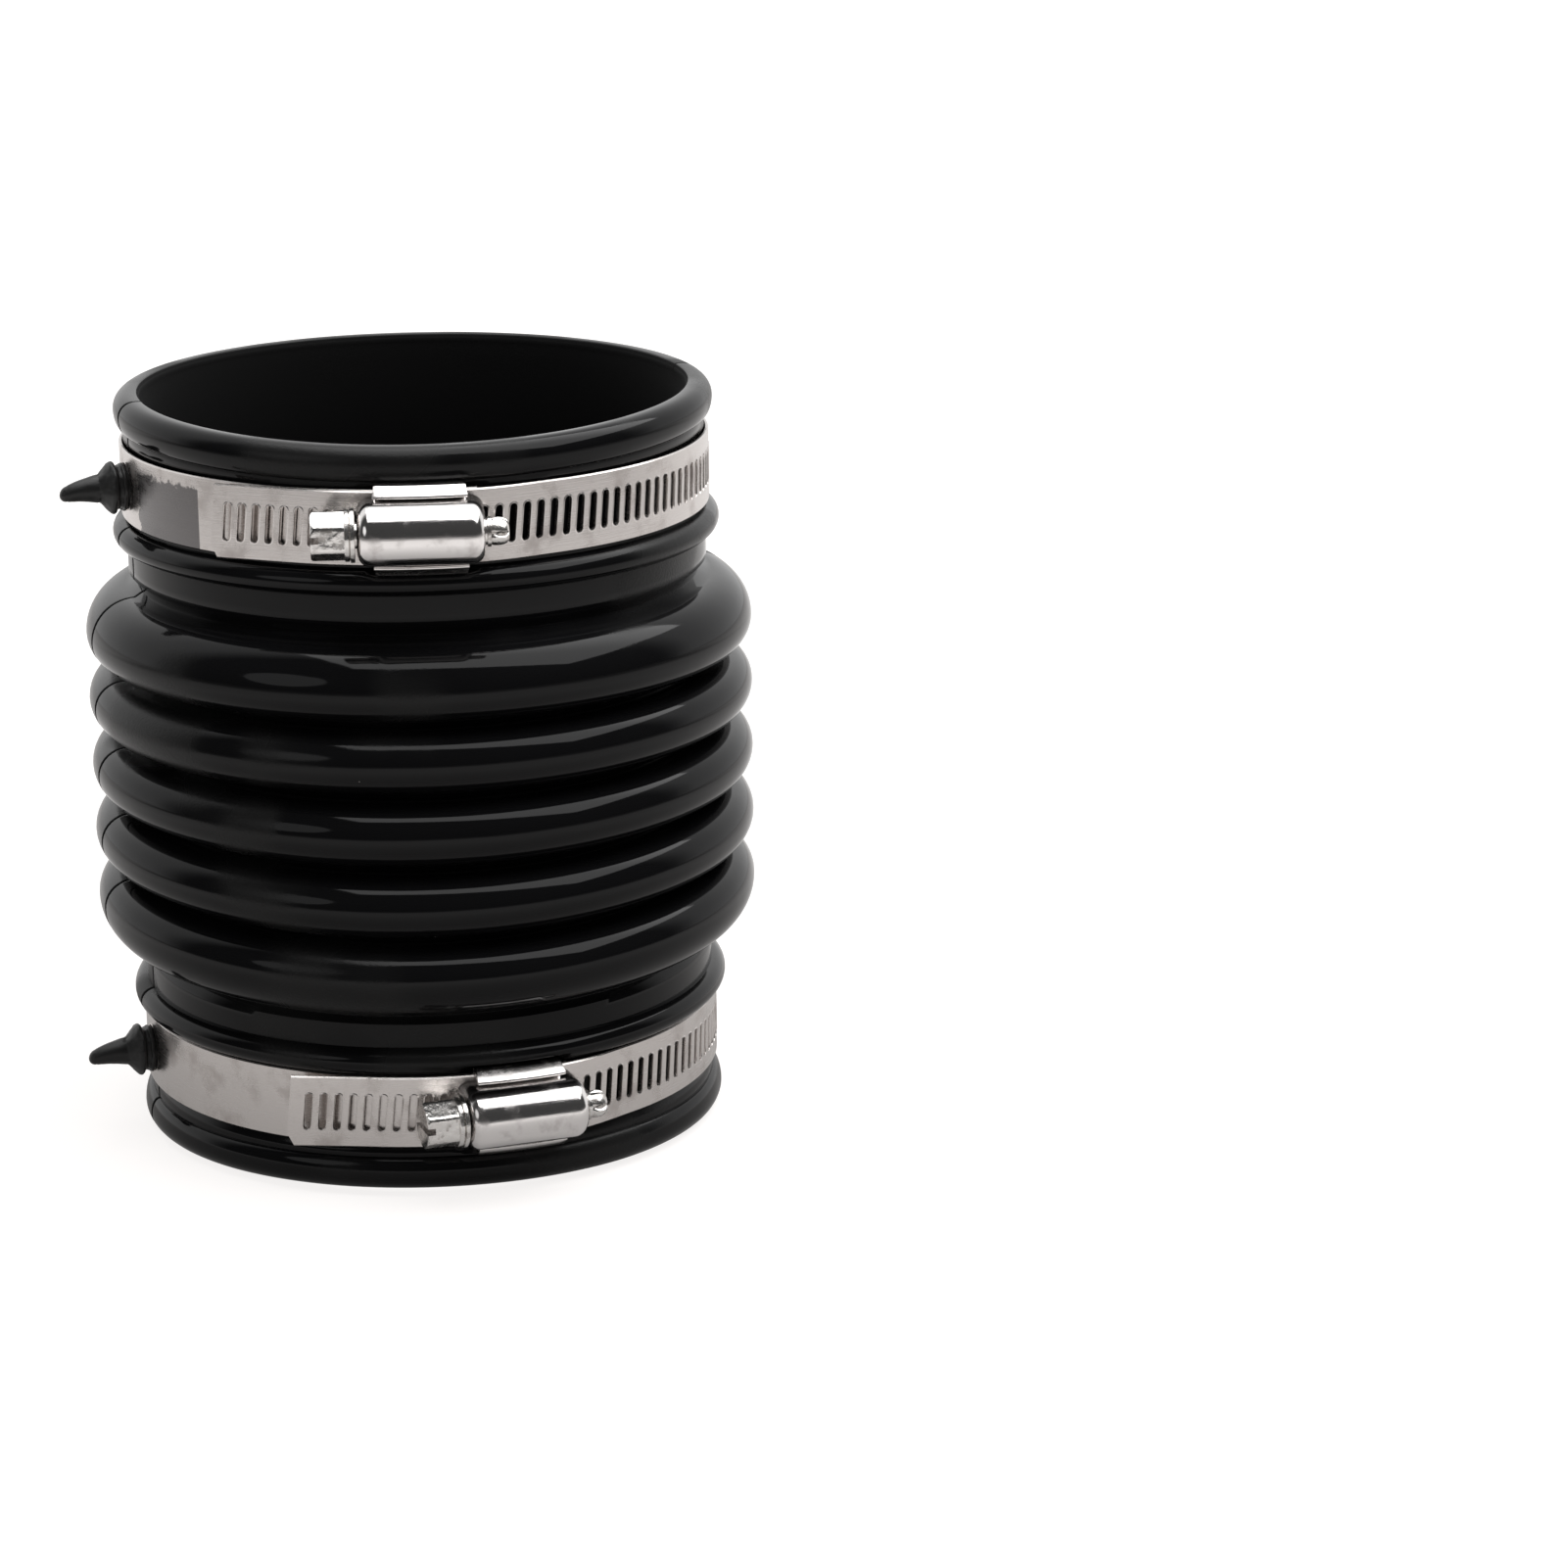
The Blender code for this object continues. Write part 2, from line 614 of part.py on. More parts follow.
def add_worm(bm):
    """Skin the thread; past the last column a row goes on as the row one turn up."""
    rows = worm_rows()
    a_turn_up = len(thread_shape())
    grid = []
    for row in rows:
        grid.append([
            bm.verts.new(column_direction(i) * radius + Vector((0, along, 0)))
            for i, (along, radius) in enumerate(row)
        ])
    last = len(rows) - 1
    for i in range(last):
        for j in range(SCREW_SIDES):
            wraps = j + 1 == SCREW_SIDES
            k = 0 if wraps else j + 1
            here = min(i + a_turn_up, last) if wraps else i
            quad = [grid[i][j], grid[here][k], grid[min(here + 1, last)][k], grid[i + 1][j]]
            if len(set(quad)) == 4:
                bm.faces.new(quad)


def add_turned(bm, stations, cap):
    """Skin rings of (along, radius of a column), and cap the ring at one end."""
    grid = []
    for along, radius in stations:
        grid.append([
            bm.verts.new(column_direction(j) * radius(j) + Vector((0, along, 0)))
            for j in range(SCREW_SIDES)
        ])
    for ring, following in zip(grid, grid[1:]):
        for j in range(SCREW_SIDES):
            k = (j + 1) % SCREW_SIDES
            bm.faces.new((ring[j], ring[k], following[k], following[j]))
    bm.faces.new(grid[cap])


def round_section(radius):
    """A round ring's radius, the same at every column."""
    return lambda column: radius


def hex_section(inset):
    """A hexagonal ring's radius at each column, with corners at every third one."""
    def radius(column):
        off_flat = math.radians((360 * column / SCREW_SIDES) % 60 - 30)
        to_corner = (HEX_ACROSS_FLATS / 2) / math.cos(math.radians(30))
        return min(HEX_ACROSS_FLATS / 2 / math.cos(off_flat), to_corner - inset)
    return radius


def head_stations():
    """The screw from its worm to the driven end: journal, flange and hexagon."""
    worm = -WORM_LENGTH / 2
    flange = -HOUSING_LENGTH / 2 - RUNNING_GAP
    hexagon = flange - SCREW_FLANGE_LENGTH
    end = hexagon - HEX_LENGTH
    return [
        (worm, round_section(WORM_ROOT_RADIUS)),
        (worm, round_section(JOURNAL_RADIUS)),
        (flange, round_section(JOURNAL_RADIUS)),
        (flange, round_section(SCREW_FLANGE_RADIUS)),
        (hexagon, round_section(SCREW_FLANGE_RADIUS)),
        (hexagon, hex_section(0)),
        (end + HEX_CHAMFER / 2, hex_section(0)),
        (end, hex_section(HEX_CHAMFER)),
    ]


def nose_stations():
    """The screw from its worm to the free end: journal, ring and cone."""
    worm = WORM_LENGTH / 2
    ring = HOUSING_LENGTH / 2 + RUNNING_GAP
    cone = ring + NOSE_RING_LENGTH
    return [
        (worm, round_section(WORM_ROOT_RADIUS)),
        (worm, round_section(JOURNAL_RADIUS)),
        (ring, round_section(JOURNAL_RADIUS)),
        (ring, round_section(NOSE_RADIUS)),
        (cone, round_section(NOSE_RADIUS)),
        (cone + NOSE_CONE_LENGTH, round_section(NOSE_TIP_RADIUS)),
    ]


def make_screw(name, place, material):
    """The worm screw, with its origin on its own axis at the middle of the housing."""
    bm = bmesh.new()
    add_worm(bm)
    add_turned(bm, head_stations(), -1)
    add_turned(bm, nose_stations(), -1)
    bmesh.ops.remove_doubles(bm, verts=bm.verts, dist=MERGE)
    bmesh.ops.dissolve_degenerate(bm, edges=bm.edges, dist=MERGE)
    bmesh.ops.recalc_face_normals(bm, faces=bm.faces)
    screw = add_object(name + "_clamp_screw", bm, material)
    seat = place @ Matrix.Translation((SCREW_AXIS_RADIUS, 0, 0))
    combine(screw, hidden(name + "_drive_slot", drive_slot(), seat), "DIFFERENCE")
    screw.matrix_world = seat
    smooth(screw, 30)
    return screw


def drive_slot():
    """The cutter for the screwdriver slot across the hexagon's end."""
    end = -HOUSING_LENGTH / 2 - RUNNING_GAP - SCREW_FLANGE_LENGTH - HEX_LENGTH
    half = DRIVE_SLOT_WIDTH / 2
    corners = rectangle(-HEX_ACROSS_FLATS, HEX_ACROSS_FLATS, -half, half)
    stations = (end - half, end + DRIVE_SLOT_DEPTH)
    return loft([[(x, along, z) for x, z in corners] for along in stations])


def make_clamp(name, azimuth, end, slip, tail_length, finishes):
    """One worm-drive clamp: band, saddle, housing and screw."""
    place = clamp_place(azimuth, clamp_height(end, slip))
    make_band(name, place, azimuth, tail_length, finishes["band"])
    make_saddle(name, place, finishes["saddle"])
    make_housing(name, place, finishes["housing"])
    make_screw(name, place, finishes["screw"])


def main():
    """Build the hose and both clamps."""
    clear_scene()
    finishes = {
        "band": finish(*BAND_STEEL),
        "saddle": finish(*SADDLE_STEEL),
        "housing": finish(*HOUSING_STEEL),
        "screw": finish(*SCREW_STEEL),
    }
    make_hose(finish(*RUBBER))
    for clamp in CLAMPS:
        make_clamp(*clamp, finishes)


main()
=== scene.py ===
"""Looks for the air intake bellows hose and its two worm-drive clamps.

All sizes are in metres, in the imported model's frame: the hose's axis is world Z and its lower
rim stands at z = 0. A clamp is drawn with its housing's middle at azimuth 0 and height 0, and
is then turned and raised into its place inside its meshes.
"""

import json
import logging
import math
from dataclasses import dataclass, field
from enum import Enum
from typing import Any, Callable, Iterable, Optional, Sequence

import bmesh
import bpy
from mathutils import Matrix, Vector, noise


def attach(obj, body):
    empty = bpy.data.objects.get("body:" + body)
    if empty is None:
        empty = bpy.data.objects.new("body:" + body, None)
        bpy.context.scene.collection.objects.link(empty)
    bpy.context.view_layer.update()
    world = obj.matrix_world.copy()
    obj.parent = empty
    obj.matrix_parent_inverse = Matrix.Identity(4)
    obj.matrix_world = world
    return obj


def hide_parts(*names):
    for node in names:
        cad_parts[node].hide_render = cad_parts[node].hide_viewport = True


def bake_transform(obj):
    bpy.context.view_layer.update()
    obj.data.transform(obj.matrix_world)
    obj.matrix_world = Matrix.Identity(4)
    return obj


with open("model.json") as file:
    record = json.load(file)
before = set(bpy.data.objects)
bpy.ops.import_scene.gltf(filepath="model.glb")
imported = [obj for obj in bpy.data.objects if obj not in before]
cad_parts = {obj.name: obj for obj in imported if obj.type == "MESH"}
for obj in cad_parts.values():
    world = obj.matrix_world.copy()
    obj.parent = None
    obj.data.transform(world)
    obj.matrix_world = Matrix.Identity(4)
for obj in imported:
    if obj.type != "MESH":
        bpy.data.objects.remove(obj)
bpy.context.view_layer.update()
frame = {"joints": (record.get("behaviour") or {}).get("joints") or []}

MERGE = 1e-6
FULL_TURN = math.tau

Point2 = tuple[float, float]
Colour = tuple[float, float, float]
Station = tuple[float, Callable[[int], float]]

logging.basicConfig(level=logging.INFO, format="%(message)s")
log = logging.getLogger("intake_hose")


def arc(centre: Point2, radii: Point2, start: float, end: float, steps: int) -> list[Point2]:
    """Points of an elliptical arc.

    Args:
        centre: Middle of the ellipse.
        radii: Its two half axes.
        start: First angle in degrees, from the first axis.
        end: Last angle in degrees.
        steps: How many chords the arc has.

    Returns:
        The points, with both ends.
    """
    points = []
    for i in range(steps + 1):
        angle = math.radians(start + (end - start) * i / steps)
        across = centre[0] + radii[0] * math.cos(angle)
        points.append((across, centre[1] + radii[1] * math.sin(angle)))
    return points


def ease(t: float) -> float:
    """Smooth step from 0 to 1."""
    t = min(max(t, 0.0), 1.0)
    return t * t * (3 - 2 * t)


class Wiring:
    """Adds nodes to one tree and links their sockets."""

    def __init__(self, tree: bpy.types.NodeTree) -> None:
        """Keeps the tree that the nodes go into."""
        self.tree = tree

    def node(
        self,
        kind: str,
        settings: Optional[dict[str, Any]] = None,
        inputs: Optional[dict[Any, Any]] = None,
    ) -> bpy.types.Node:
        """Adds one node.

        Args:
            kind: The node's type name.
            settings: Its properties by name.
            inputs: Its sockets by name or number, each fed by a value or another socket.

        Returns:
            The new node.
        """
        node = self.tree.nodes.new(kind)
        for name, value in (settings or {}).items():
            setattr(node, name, value)
        for name, value in (inputs or {}).items():
            self.feed(node.inputs[name], value)
        return node

    def feed(self, socket: bpy.types.NodeSocket, value: Any) -> None:
        """Links a socket to another, or sets its own value.

        Args:
            socket: The input that is fed.
            value: Another socket, or a plain value.
        """
        if isinstance(value, bpy.types.NodeSocket):
            self.tree.links.new(value, socket)
        else:
            socket.default_value = value

    def maths(self, operation: str, *values: Any, clamp: bool = False) -> bpy.types.NodeSocket:
        """Adds a Math node and returns its result.

        Args:
            operation: The node's operation.
            values: Its inputs in order.
            clamp: Whether the result stays from 0 to 1.

        Returns:
            The node's result.
        """
        inputs = dict(enumerate(values))
        settings = {"operation": operation, "use_clamp": clamp}
        return self.node("ShaderNodeMath", settings, inputs).outputs[0]

    def vector(self, operation: str, *values: Any, out: str = "Vector") -> bpy.types.NodeSocket:
        """Adds a Vector Math node and returns one of its results."""
        node = self.node("ShaderNodeVectorMath", {"operation": operation}, dict(enumerate(values)))
        return node.outputs[out]

    def combine(self, x: Any, y: Any, z: Any) -> bpy.types.NodeSocket:
        """Adds a Combine XYZ node and returns its vector."""
        return self.node("ShaderNodeCombineXYZ", None, {0: x, 1: y, 2: z}).outputs[0]

    def separate(self, vector: bpy.types.NodeSocket) -> list[bpy.types.NodeSocket]:
        """Adds a Separate XYZ node and returns its three numbers."""
        return list(self.node("ShaderNodeSeparateXYZ", None, {0: vector}).outputs)

    def ramp(self, value: Any, low: Any, high: Any, to: Point2 = (0.0, 1.0)) -> bpy.types.NodeSocket:
        """Adds a smooth Map Range node.

        Args:
            value: What is mapped.
            low: Where the result starts to change.
            high: Where it stops changing.
            to: The result at low and at high.

        Returns:
            The mapped number.
        """
        inputs = {"Value": value, "From Min": low, "From Max": high, "To Min": to[0], "To Max": to[1]}
        return self.node("ShaderNodeMapRange", {"interpolation_type": "SMOOTHSTEP"}, inputs).outputs[0]

    def noise(self, vector: Any, scale: Any, detail: float = 2.0, rough: float = 0.5) -> bpy.types.NodeSocket:
        """Adds a Noise Texture and returns its value from 0 to 1."""
        inputs = {"Vector": vector, "Scale": scale, "Detail": detail, "Roughness": rough}
        return self.node("ShaderNodeTexNoise", None, inputs).outputs[0]

    def mix_colour(self, share: Any, first: Any, second: Any) -> bpy.types.NodeSocket:
        """Adds a colour Mix node and returns its colour.

        Args:
            share: How much of the second colour shows.
            first: The first colour.
            second: The second colour.

        Returns:
            The mixed colour.
        """
        node = self.node("ShaderNodeMix", {"data_type": "RGBA"})
        for socket, value in ((node.inputs[0], share), (node.inputs[6], first), (node.inputs[7], second)):
            self.feed(socket, (*value, 1.0) if isinstance(value, tuple) else value)
        return node.outputs[2]


class GeometryTree(Wiring):
    """A geometry node tree with named inputs, used by one modifier."""

    def __init__(self, name: str) -> None:
        """Makes the tree with its geometry sockets.

        Args:
            name: Its name.
        """
        super().__init__(bpy.data.node_groups.new(name, "GeometryNodeTree"))
        self.tree.is_modifier = True
        for direction in ("INPUT", "OUTPUT"):
            self.tree.interface.new_socket("Geometry", in_out=direction, socket_type="NodeSocketGeometry")
        self.entry = self.tree.nodes.new("NodeGroupInput")
        self.exit = self.tree.nodes.new("NodeGroupOutput")
        self.values: dict[str, Any] = {}

    def input(self, name: str, kind: str, value: Any) -> bpy.types.NodeSocket:
        """Adds a named input and keeps the value that the modifier will give it.

        Args:
            name: The input's name.
            kind: Float, Int, Vector or Object.
            value: The modifier's value for it.

        Returns:
            The socket inside the tree.
        """
        item = self.tree.interface.new_socket(name, in_out="INPUT", socket_type="NodeSocket" + kind)
        self.values[item.identifier] = value
        return self.entry.outputs[name]

    def finish(self, geometry: bpy.types.NodeSocket, material: bpy.types.Material) -> None:
        """Ends the tree in Realize Instances and Set Material.

        Args:
            geometry: The geometry that the tree ends in.
            material: The material that it gets.
        """
        real = self.node("GeometryNodeRealizeInstances", None, {0: geometry}).outputs[0]
        inputs = {"Geometry": real, "Material": material}
        self.feed(self.exit.inputs[0], self.node("GeometryNodeSetMaterial", None, inputs).outputs[0])

    def grow(self, name: str, seed: bpy.types.Mesh) -> bpy.types.Mesh:
        """Runs the tree on a seed mesh and returns the result as a plain mesh.

        Args:
            name: Its name.
            seed: The mesh that the modifier stands on.

        Returns:
            The result.
        """
        thing = bpy.data.objects.new(name + "_seed", seed)
        bpy.context.scene.collection.objects.link(thing)
        modifier = thing.modifiers.new("growth", "NODES")
        modifier.node_group = self.tree
        for identifier, value in self.values.items():
            modifier[identifier] = value
        evaluated = thing.evaluated_get(bpy.context.evaluated_depsgraph_get())
        mesh = bpy.data.meshes.new_from_object(evaluated)
        bpy.data.objects.remove(thing, do_unlink=True)
        return mesh


def line_mesh(name: str, points: Sequence[Vector | tuple]) -> bpy.types.Mesh:
    """A mesh of points joined in order by edges.

    Args:
        name: Its name.
        points: The points in order.

    Returns:
        The mesh.
    """
    mesh = bpy.data.meshes.new(name)
    mesh.from_pydata([tuple(point) for point in points], [(i, i + 1) for i in range(len(points) - 1)], [])
    return mesh


def store(name: str, mesh: bpy.types.Mesh) -> bpy.types.Object:
    """An unseen object that a tree takes its shape from.

    Args:
        name: Its name.
        mesh: The mesh that it shows.

    Returns:
        The object.
    """
    mesh.name = name
    thing = bpy.data.objects.new(name, mesh)
    bpy.context.scene.collection.objects.link(thing)
    thing.hide_render = True
    thing.hide_viewport = True
    return thing


def piece(
    name: str,
    mesh: bpy.types.Mesh,
    place: Matrix = Matrix.Identity(4),
    sharp: float = 35.0,
    material: Optional[bpy.types.Material] = None,
) -> bpy.types.Object:
    """Makes a finished piece: doubles merged, faces out, in place inside its mesh.

    Args:
        name: The piece's name.
        mesh: Its mesh, which the piece takes over.
        place: Where the mesh goes.
        sharp: Edges over this angle in degrees stay sharp.
        material: Its material, where the mesh has none yet.

    Returns:
        The piece's object, at the origin.
    """
    bm = bmesh.new()
    bm.from_mesh(mesh)
    bmesh.ops.remove_doubles(bm, verts=bm.verts, dist=MERGE)
    bmesh.ops.dissolve_degenerate(bm, edges=bm.edges, dist=MERGE)
    bmesh.ops.recalc_face_normals(bm, faces=bm.faces)
    bm.transform(place)
    bm.to_mesh(mesh)
    bm.free()
    if material:
        mesh.materials.clear()
        mesh.materials.append(material)
    mesh.shade_smooth()
    mesh.set_sharp_from_angle(angle=math.radians(sharp))
    thing = bpy.data.objects.new(name, mesh)
    bpy.context.scene.collection.objects.link(thing)
    return thing


def loft(sections: Sequence[Sequence[tuple]]) -> bpy.types.Mesh:
    """Skins closed sections of equal length and caps both ends.

    Args:
        sections: The sections, each as a list of points.

    Returns:
        The skinned mesh.
    """
    bm = bmesh.new()
    rings = [[bm.verts.new(point) for point in section] for section in sections]
    count = len(rings[0])
    for ring, following in zip(rings, rings[1:]):
        for i in range(count):
            j = (i + 1) % count
            bm.faces.new((ring[i], ring[j], following[j], following[i]))
    bm.faces.new(rings[0])
    bm.faces.new(rings[-1])
    bmesh.ops.recalc_face_normals(bm, faces=bm.faces)
    mesh = bpy.data.meshes.new("loft")
    bm.to_mesh(mesh)
    bm.free()
    return mesh


def boolean(mesh: bpy.types.Mesh, others: Iterable[tuple[bpy.types.Mesh, str]]) -> bpy.types.Mesh:
    """Joins or cuts a mesh with others by exact Booleans.

    Args:
        mesh: The mesh that is changed.
        others: Pairs of a mesh and UNION or DIFFERENCE.

    Returns:
        The result as a new mesh.
    """
    body = store("boolean_body", mesh)
    tools = []
    for i, (other, operation) in enumerate(others):
        tools.append(store(f"boolean_tool_{i}", other))
        modifier = body.modifiers.new(f"step_{i}", "BOOLEAN")
        modifier.operation = operation
        modifier.object = tools[-1]
        modifier.solver = "EXACT"
    body.hide_viewport = False
    evaluated = body.evaluated_get(bpy.context.evaluated_depsgraph_get())
    result = bpy.data.meshes.new_from_object(evaluated)
    for thing in [body] + tools:
        bpy.data.objects.remove(thing, do_unlink=True)
    return result


class ShaderGroups:
    """Effects that more than one material uses, each built once as a node group."""

    @staticmethod
    def start(name: str, inputs: dict[str, tuple[str, Any]], outputs: dict[str, str]) -> tuple:
        """Makes an empty group.

        Args:
            name: The group's name.
            inputs: Socket type and default value by name.
            outputs: Socket type by name.

        Returns:
            The wiring, the entry node and the exit node.
        """
        tree = bpy.data.node_groups.new(name, "ShaderNodeTree")
        for label, (kind, value) in inputs.items():
            item = tree.interface.new_socket(label, in_out="INPUT", socket_type="NodeSocket" + kind)
            if value is not None:
                item.default_value = value
        for label, kind in outputs.items():
            tree.interface.new_socket(label, in_out="OUTPUT", socket_type="NodeSocket" + kind)
        wiring = Wiring(tree)
        return wiring, wiring.node("NodeGroupInput"), wiring.node("NodeGroupOutput")

    @classmethod
    def specks(cls) -> bpy.types.NodeTree:
        """Scattered small specks, as dust on rubber or pits in plating.

        Returns:
            The group, with a mask that is 1 on a speck.
        """
        if "Specks" in bpy.data.node_groups:
            return bpy.data.node_groups["Specks"]
        inputs = {
            "Vector": ("Vector", None), "Scale": ("Float", 300.0),
            "Share": ("Float", 0.05), "Size": ("Float", 0.1),
        }
        w, entry, leave = cls.start("Specks", inputs, {"Mask": "Float"})
        fed = {name: entry.outputs[name] for name in ("Vector", "Scale")}
        cells = w.node("ShaderNodeTexVoronoi", None, fed)
        red = w.node("ShaderNodeSeparateColor", None, {0: cells.outputs["Color"]}).outputs
        chosen = w.maths("LESS_THAN", red[0], entry.outputs["Share"])
        size = w.maths("MULTIPLY", entry.outputs["Size"], w.maths("ADD", red[1], 0.35))
        near = w.ramp(cells.outputs["Distance"], w.maths("MULTIPLY", size, 0.5), size, (1.0, 0.0))
        w.feed(leave.inputs["Mask"], w.maths("MULTIPLY", chosen, near))
        return w.tree

    @classmethod
    def grain(cls) -> bpy.types.NodeTree:
        """Fine grain that shows only in patches, and where those patches lie.

        Returns:
            The group, with the grain's height and the patches' mask.
        """
        if "Patchy Grain" in bpy.data.node_groups:
            return bpy.data.node_groups["Patchy Grain"]
        inputs = {
            "Vector": ("Vector", None), "Grain Scale": ("Float", 2500.0),
            "Patch Scale": ("Float", 30.0), "Patch Share": ("Float", 0.5),
        }
        w, entry, leave = cls.start("Patchy Grain", inputs, {"Height": "Float", "Patch": "Float"})
        fine = w.noise(entry.outputs["Vector"], entry.outputs["Grain Scale"], 3.0, 0.6)
        coarse = w.noise(entry.outputs["Vector"], entry.outputs["Patch Scale"], 2.0, 0.6)
        edge = w.maths("SUBTRACT", 0.95, w.maths("MULTIPLY", entry.outputs["Patch Share"], 0.7))
        patch = w.ramp(coarse, edge, w.maths("ADD", edge, 0.12))
        w.feed(leave.inputs["Height"], w.maths("MULTIPLY", fine, patch))
        w.feed(leave.inputs["Patch"], patch)
        return w.tree

    @classmethod
    def drawn_lines(cls) -> bpy.types.NodeTree:
        """Fine lines along the first axis, as rolling or polishing leaves them.

        Returns:
            The group, with a value from 0 to 1.
        """
        if "Drawn Lines" in bpy.data.node_groups:
            return bpy.data.node_groups["Drawn Lines"]
        inputs = {"Vector": ("Vector", None), "Across": ("Float", 9000.0), "Along": ("Float", 60.0)}
        w, entry, leave = cls.start("Drawn Lines", inputs, {"Value": "Float"})
        x, y, z = w.separate(entry.outputs["Vector"])
        across = entry.outputs["Across"]
        stretched = w.combine(
            w.maths("MULTIPLY", x, entry.outputs["Along"]),
            w.maths("MULTIPLY", y, across),
            w.maths("MULTIPLY", z, across),
        )
        w.feed(leave.inputs["Value"], w.noise(stretched, 1.0, 3.0, 0.7))
        return w.tree

    @classmethod
    def smudges(cls) -> bpy.types.NodeTree:
        """Soft cloudy marks that dull a bright surface here and there.

        Returns:
            The group, with a mask that is 1 on a smudge.
        """
        if "Smudges" in bpy.data.node_groups:
            return bpy.data.node_groups["Smudges"]
        inputs = {
            "Vector": ("Vector", None), "Scale": ("Float", 120.0),
            "Low": ("Float", 0.5), "High": ("Float", 0.7),
        }
        w, entry, leave = cls.start("Smudges", inputs, {"Mask": "Float"})
        cloud = w.noise(entry.outputs["Vector"], entry.outputs["Scale"], 4.0, 0.55)
        w.feed(leave.inputs["Mask"], w.ramp(cloud, entry.outputs["Low"], entry.outputs["High"]))
        return w.tree

    @staticmethod
    def place(w: Wiring, tree: bpy.types.NodeTree, inputs: dict[str, Any]) -> bpy.types.Node:
        """Puts a group into a material's tree."""
        return w.node("ShaderNodeGroup", {"node_tree": tree}, inputs)


def new_material(name: str) -> tuple[bpy.types.Material, Wiring, bpy.types.Node]:
    """Makes a material and returns it with its wiring and its Principled shader.

    Args:
        name: Its name.

    Returns:
        The material, its wiring and its shader node.
    """
    material = bpy.data.materials.new(name)
    material.use_nodes = True
    wiring = Wiring(material.node_tree)
    return material, wiring, material.node_tree.nodes["Principled BSDF"]


@dataclass(frozen=True)
class MouldedRubber:
    """Gloss black rubber with patchy grain, dust specks, a duller rear half, and painted shade inside the
    bore, in the parting-line groove and along the lip's crease.
    """

    name: str = "gloss_moulded_rubber"
    colour: Colour = (0.0055, 0.0055, 0.006)
    dull_colour: Colour = (0.012, 0.012, 0.012)
    dust_colour: Colour = (0.30, 0.29, 0.28)
    # painted shade colour, used inside the bore, in the parting-line groove and along the lip's crease
    painted_shade_colour: Colour = (0.0012, 0.0012, 0.0013)
    roughness: float = 0.07
    patch_roughness: float = 0.30
    inside_roughness: float = 0.85
    seam_roughness: float = 0.85
    rear_roughness: float = 0.16
    specular_level: float = 0.165
    bump_distance: float = 0.00005
    bore_radius: float = 0.0451
    seam_azimuth: float = math.radians(234)
    # half width of the painted shade along the parting-line groove
    seam_half_width: float = 0.00028
    inside_fade: float = 0.0006
    # ring of painted shade along the crease at the lip's inner edge
    crease_radius: float = 0.0455
    crease_half_width: float = 0.00008
    crease_reach: float = 0.00020
    grain_scale: float = 2600.0
    patch_scale: float = 26.0
    patch_share: float = 0.60
    dust_scale: float = 260.0
    dust_share: float = 0.035
    dust_size: float = 0.05
    swell_scale: float = 140.0

    def material(self) -> bpy.types.Material:
        """Builds the material.

        Returns:
            The rubber.
        """
        material, w, shader = new_material(self.name)
        where = w.node("ShaderNodeTexCoord").outputs["Object"]
        patchy = {
            "Vector": where, "Grain Scale": self.grain_scale,
            "Patch Scale": self.patch_scale, "Patch Share": self.patch_share,
        }
        grain = ShaderGroups.place(w, ShaderGroups.grain(), patchy)
        dusty = {"Vector": where, "Scale": self.dust_scale, "Share": self.dust_share, "Size": self.dust_size}
        dust = ShaderGroups.place(w, ShaderGroups.specks(), dusty).outputs["Mask"]
        swell = w.noise(where, self.swell_scale, 2.0, 0.5)
        from_axis = w.vector("LENGTH", w.vector("MULTIPLY", where, (1.0, 1.0, 0.0)), out="Value")
        # painted shade: the bore's inside is darkened towards black, as shade inside the tube
        inside = w.ramp(from_axis, self.bore_radius, self.bore_radius + self.inside_fade, (1.0, 0.0))
        colour = w.mix_colour(grain.outputs["Patch"], self.colour, self.dull_colour)
        colour = w.mix_colour(inside, colour, self.painted_shade_colour)
        # painted shade: the parting-line groove and the lip's crease are darkened to the shade colour
        front = (-math.sin(self.seam_azimuth), math.cos(self.seam_azimuth), 0.0)
        ahead = w.vector("DOT_PRODUCT", where, front, out="Value")
        off_seam = w.maths("ABSOLUTE", ahead)
        seam = w.ramp(off_seam, self.seam_half_width, self.seam_half_width * 1.4, (1.0, 0.0))
        off_crease = w.maths("ABSOLUTE", w.maths("SUBTRACT", from_axis, self.crease_radius))
        crease = w.ramp(off_crease, self.crease_half_width, self.crease_reach, (1.0, 0.0))
        seam_and_crease_shade = w.maths("MAXIMUM", seam, crease)
        colour = w.mix_colour(seam_and_crease_shade, colour, self.painted_shade_colour)
        w.feed(shader.inputs["Base Color"], w.mix_colour(dust, colour, self.dust_colour))
        rough = w.ramp(grain.outputs["Patch"], 0.0, 1.0, (self.roughness, self.patch_roughness))
        rear = w.ramp(ahead, -0.0002, 0.0, (self.rear_roughness, 0.0))
        rough = w.maths("ADD", rough, rear)
        rough = w.maths("MULTIPLY_ADD", w.maths("SUBTRACT", self.inside_roughness, rough), inside, rough)
        rough = w.maths("MULTIPLY_ADD", w.maths("SUBTRACT", self.seam_roughness, rough), seam_and_crease_shade, rough)
        w.feed(shader.inputs["Roughness"], w.maths("ADD", rough, w.maths("MULTIPLY", dust, 0.5), clamp=True))
        shader.inputs["Specular IOR Level"].default_value = self.specular_level
        height = w.maths("ADD", grain.outputs["Height"], w.maths("MULTIPLY", swell, 0.5))
        height = w.maths("ADD", height, dust)
        bump = {"Strength": 1.0, "Distance": self.bump_distance, "Height": height}
        w.feed(shader.inputs["Normal"], w.node("ShaderNodeBump", None, bump).outputs[0])
        return material


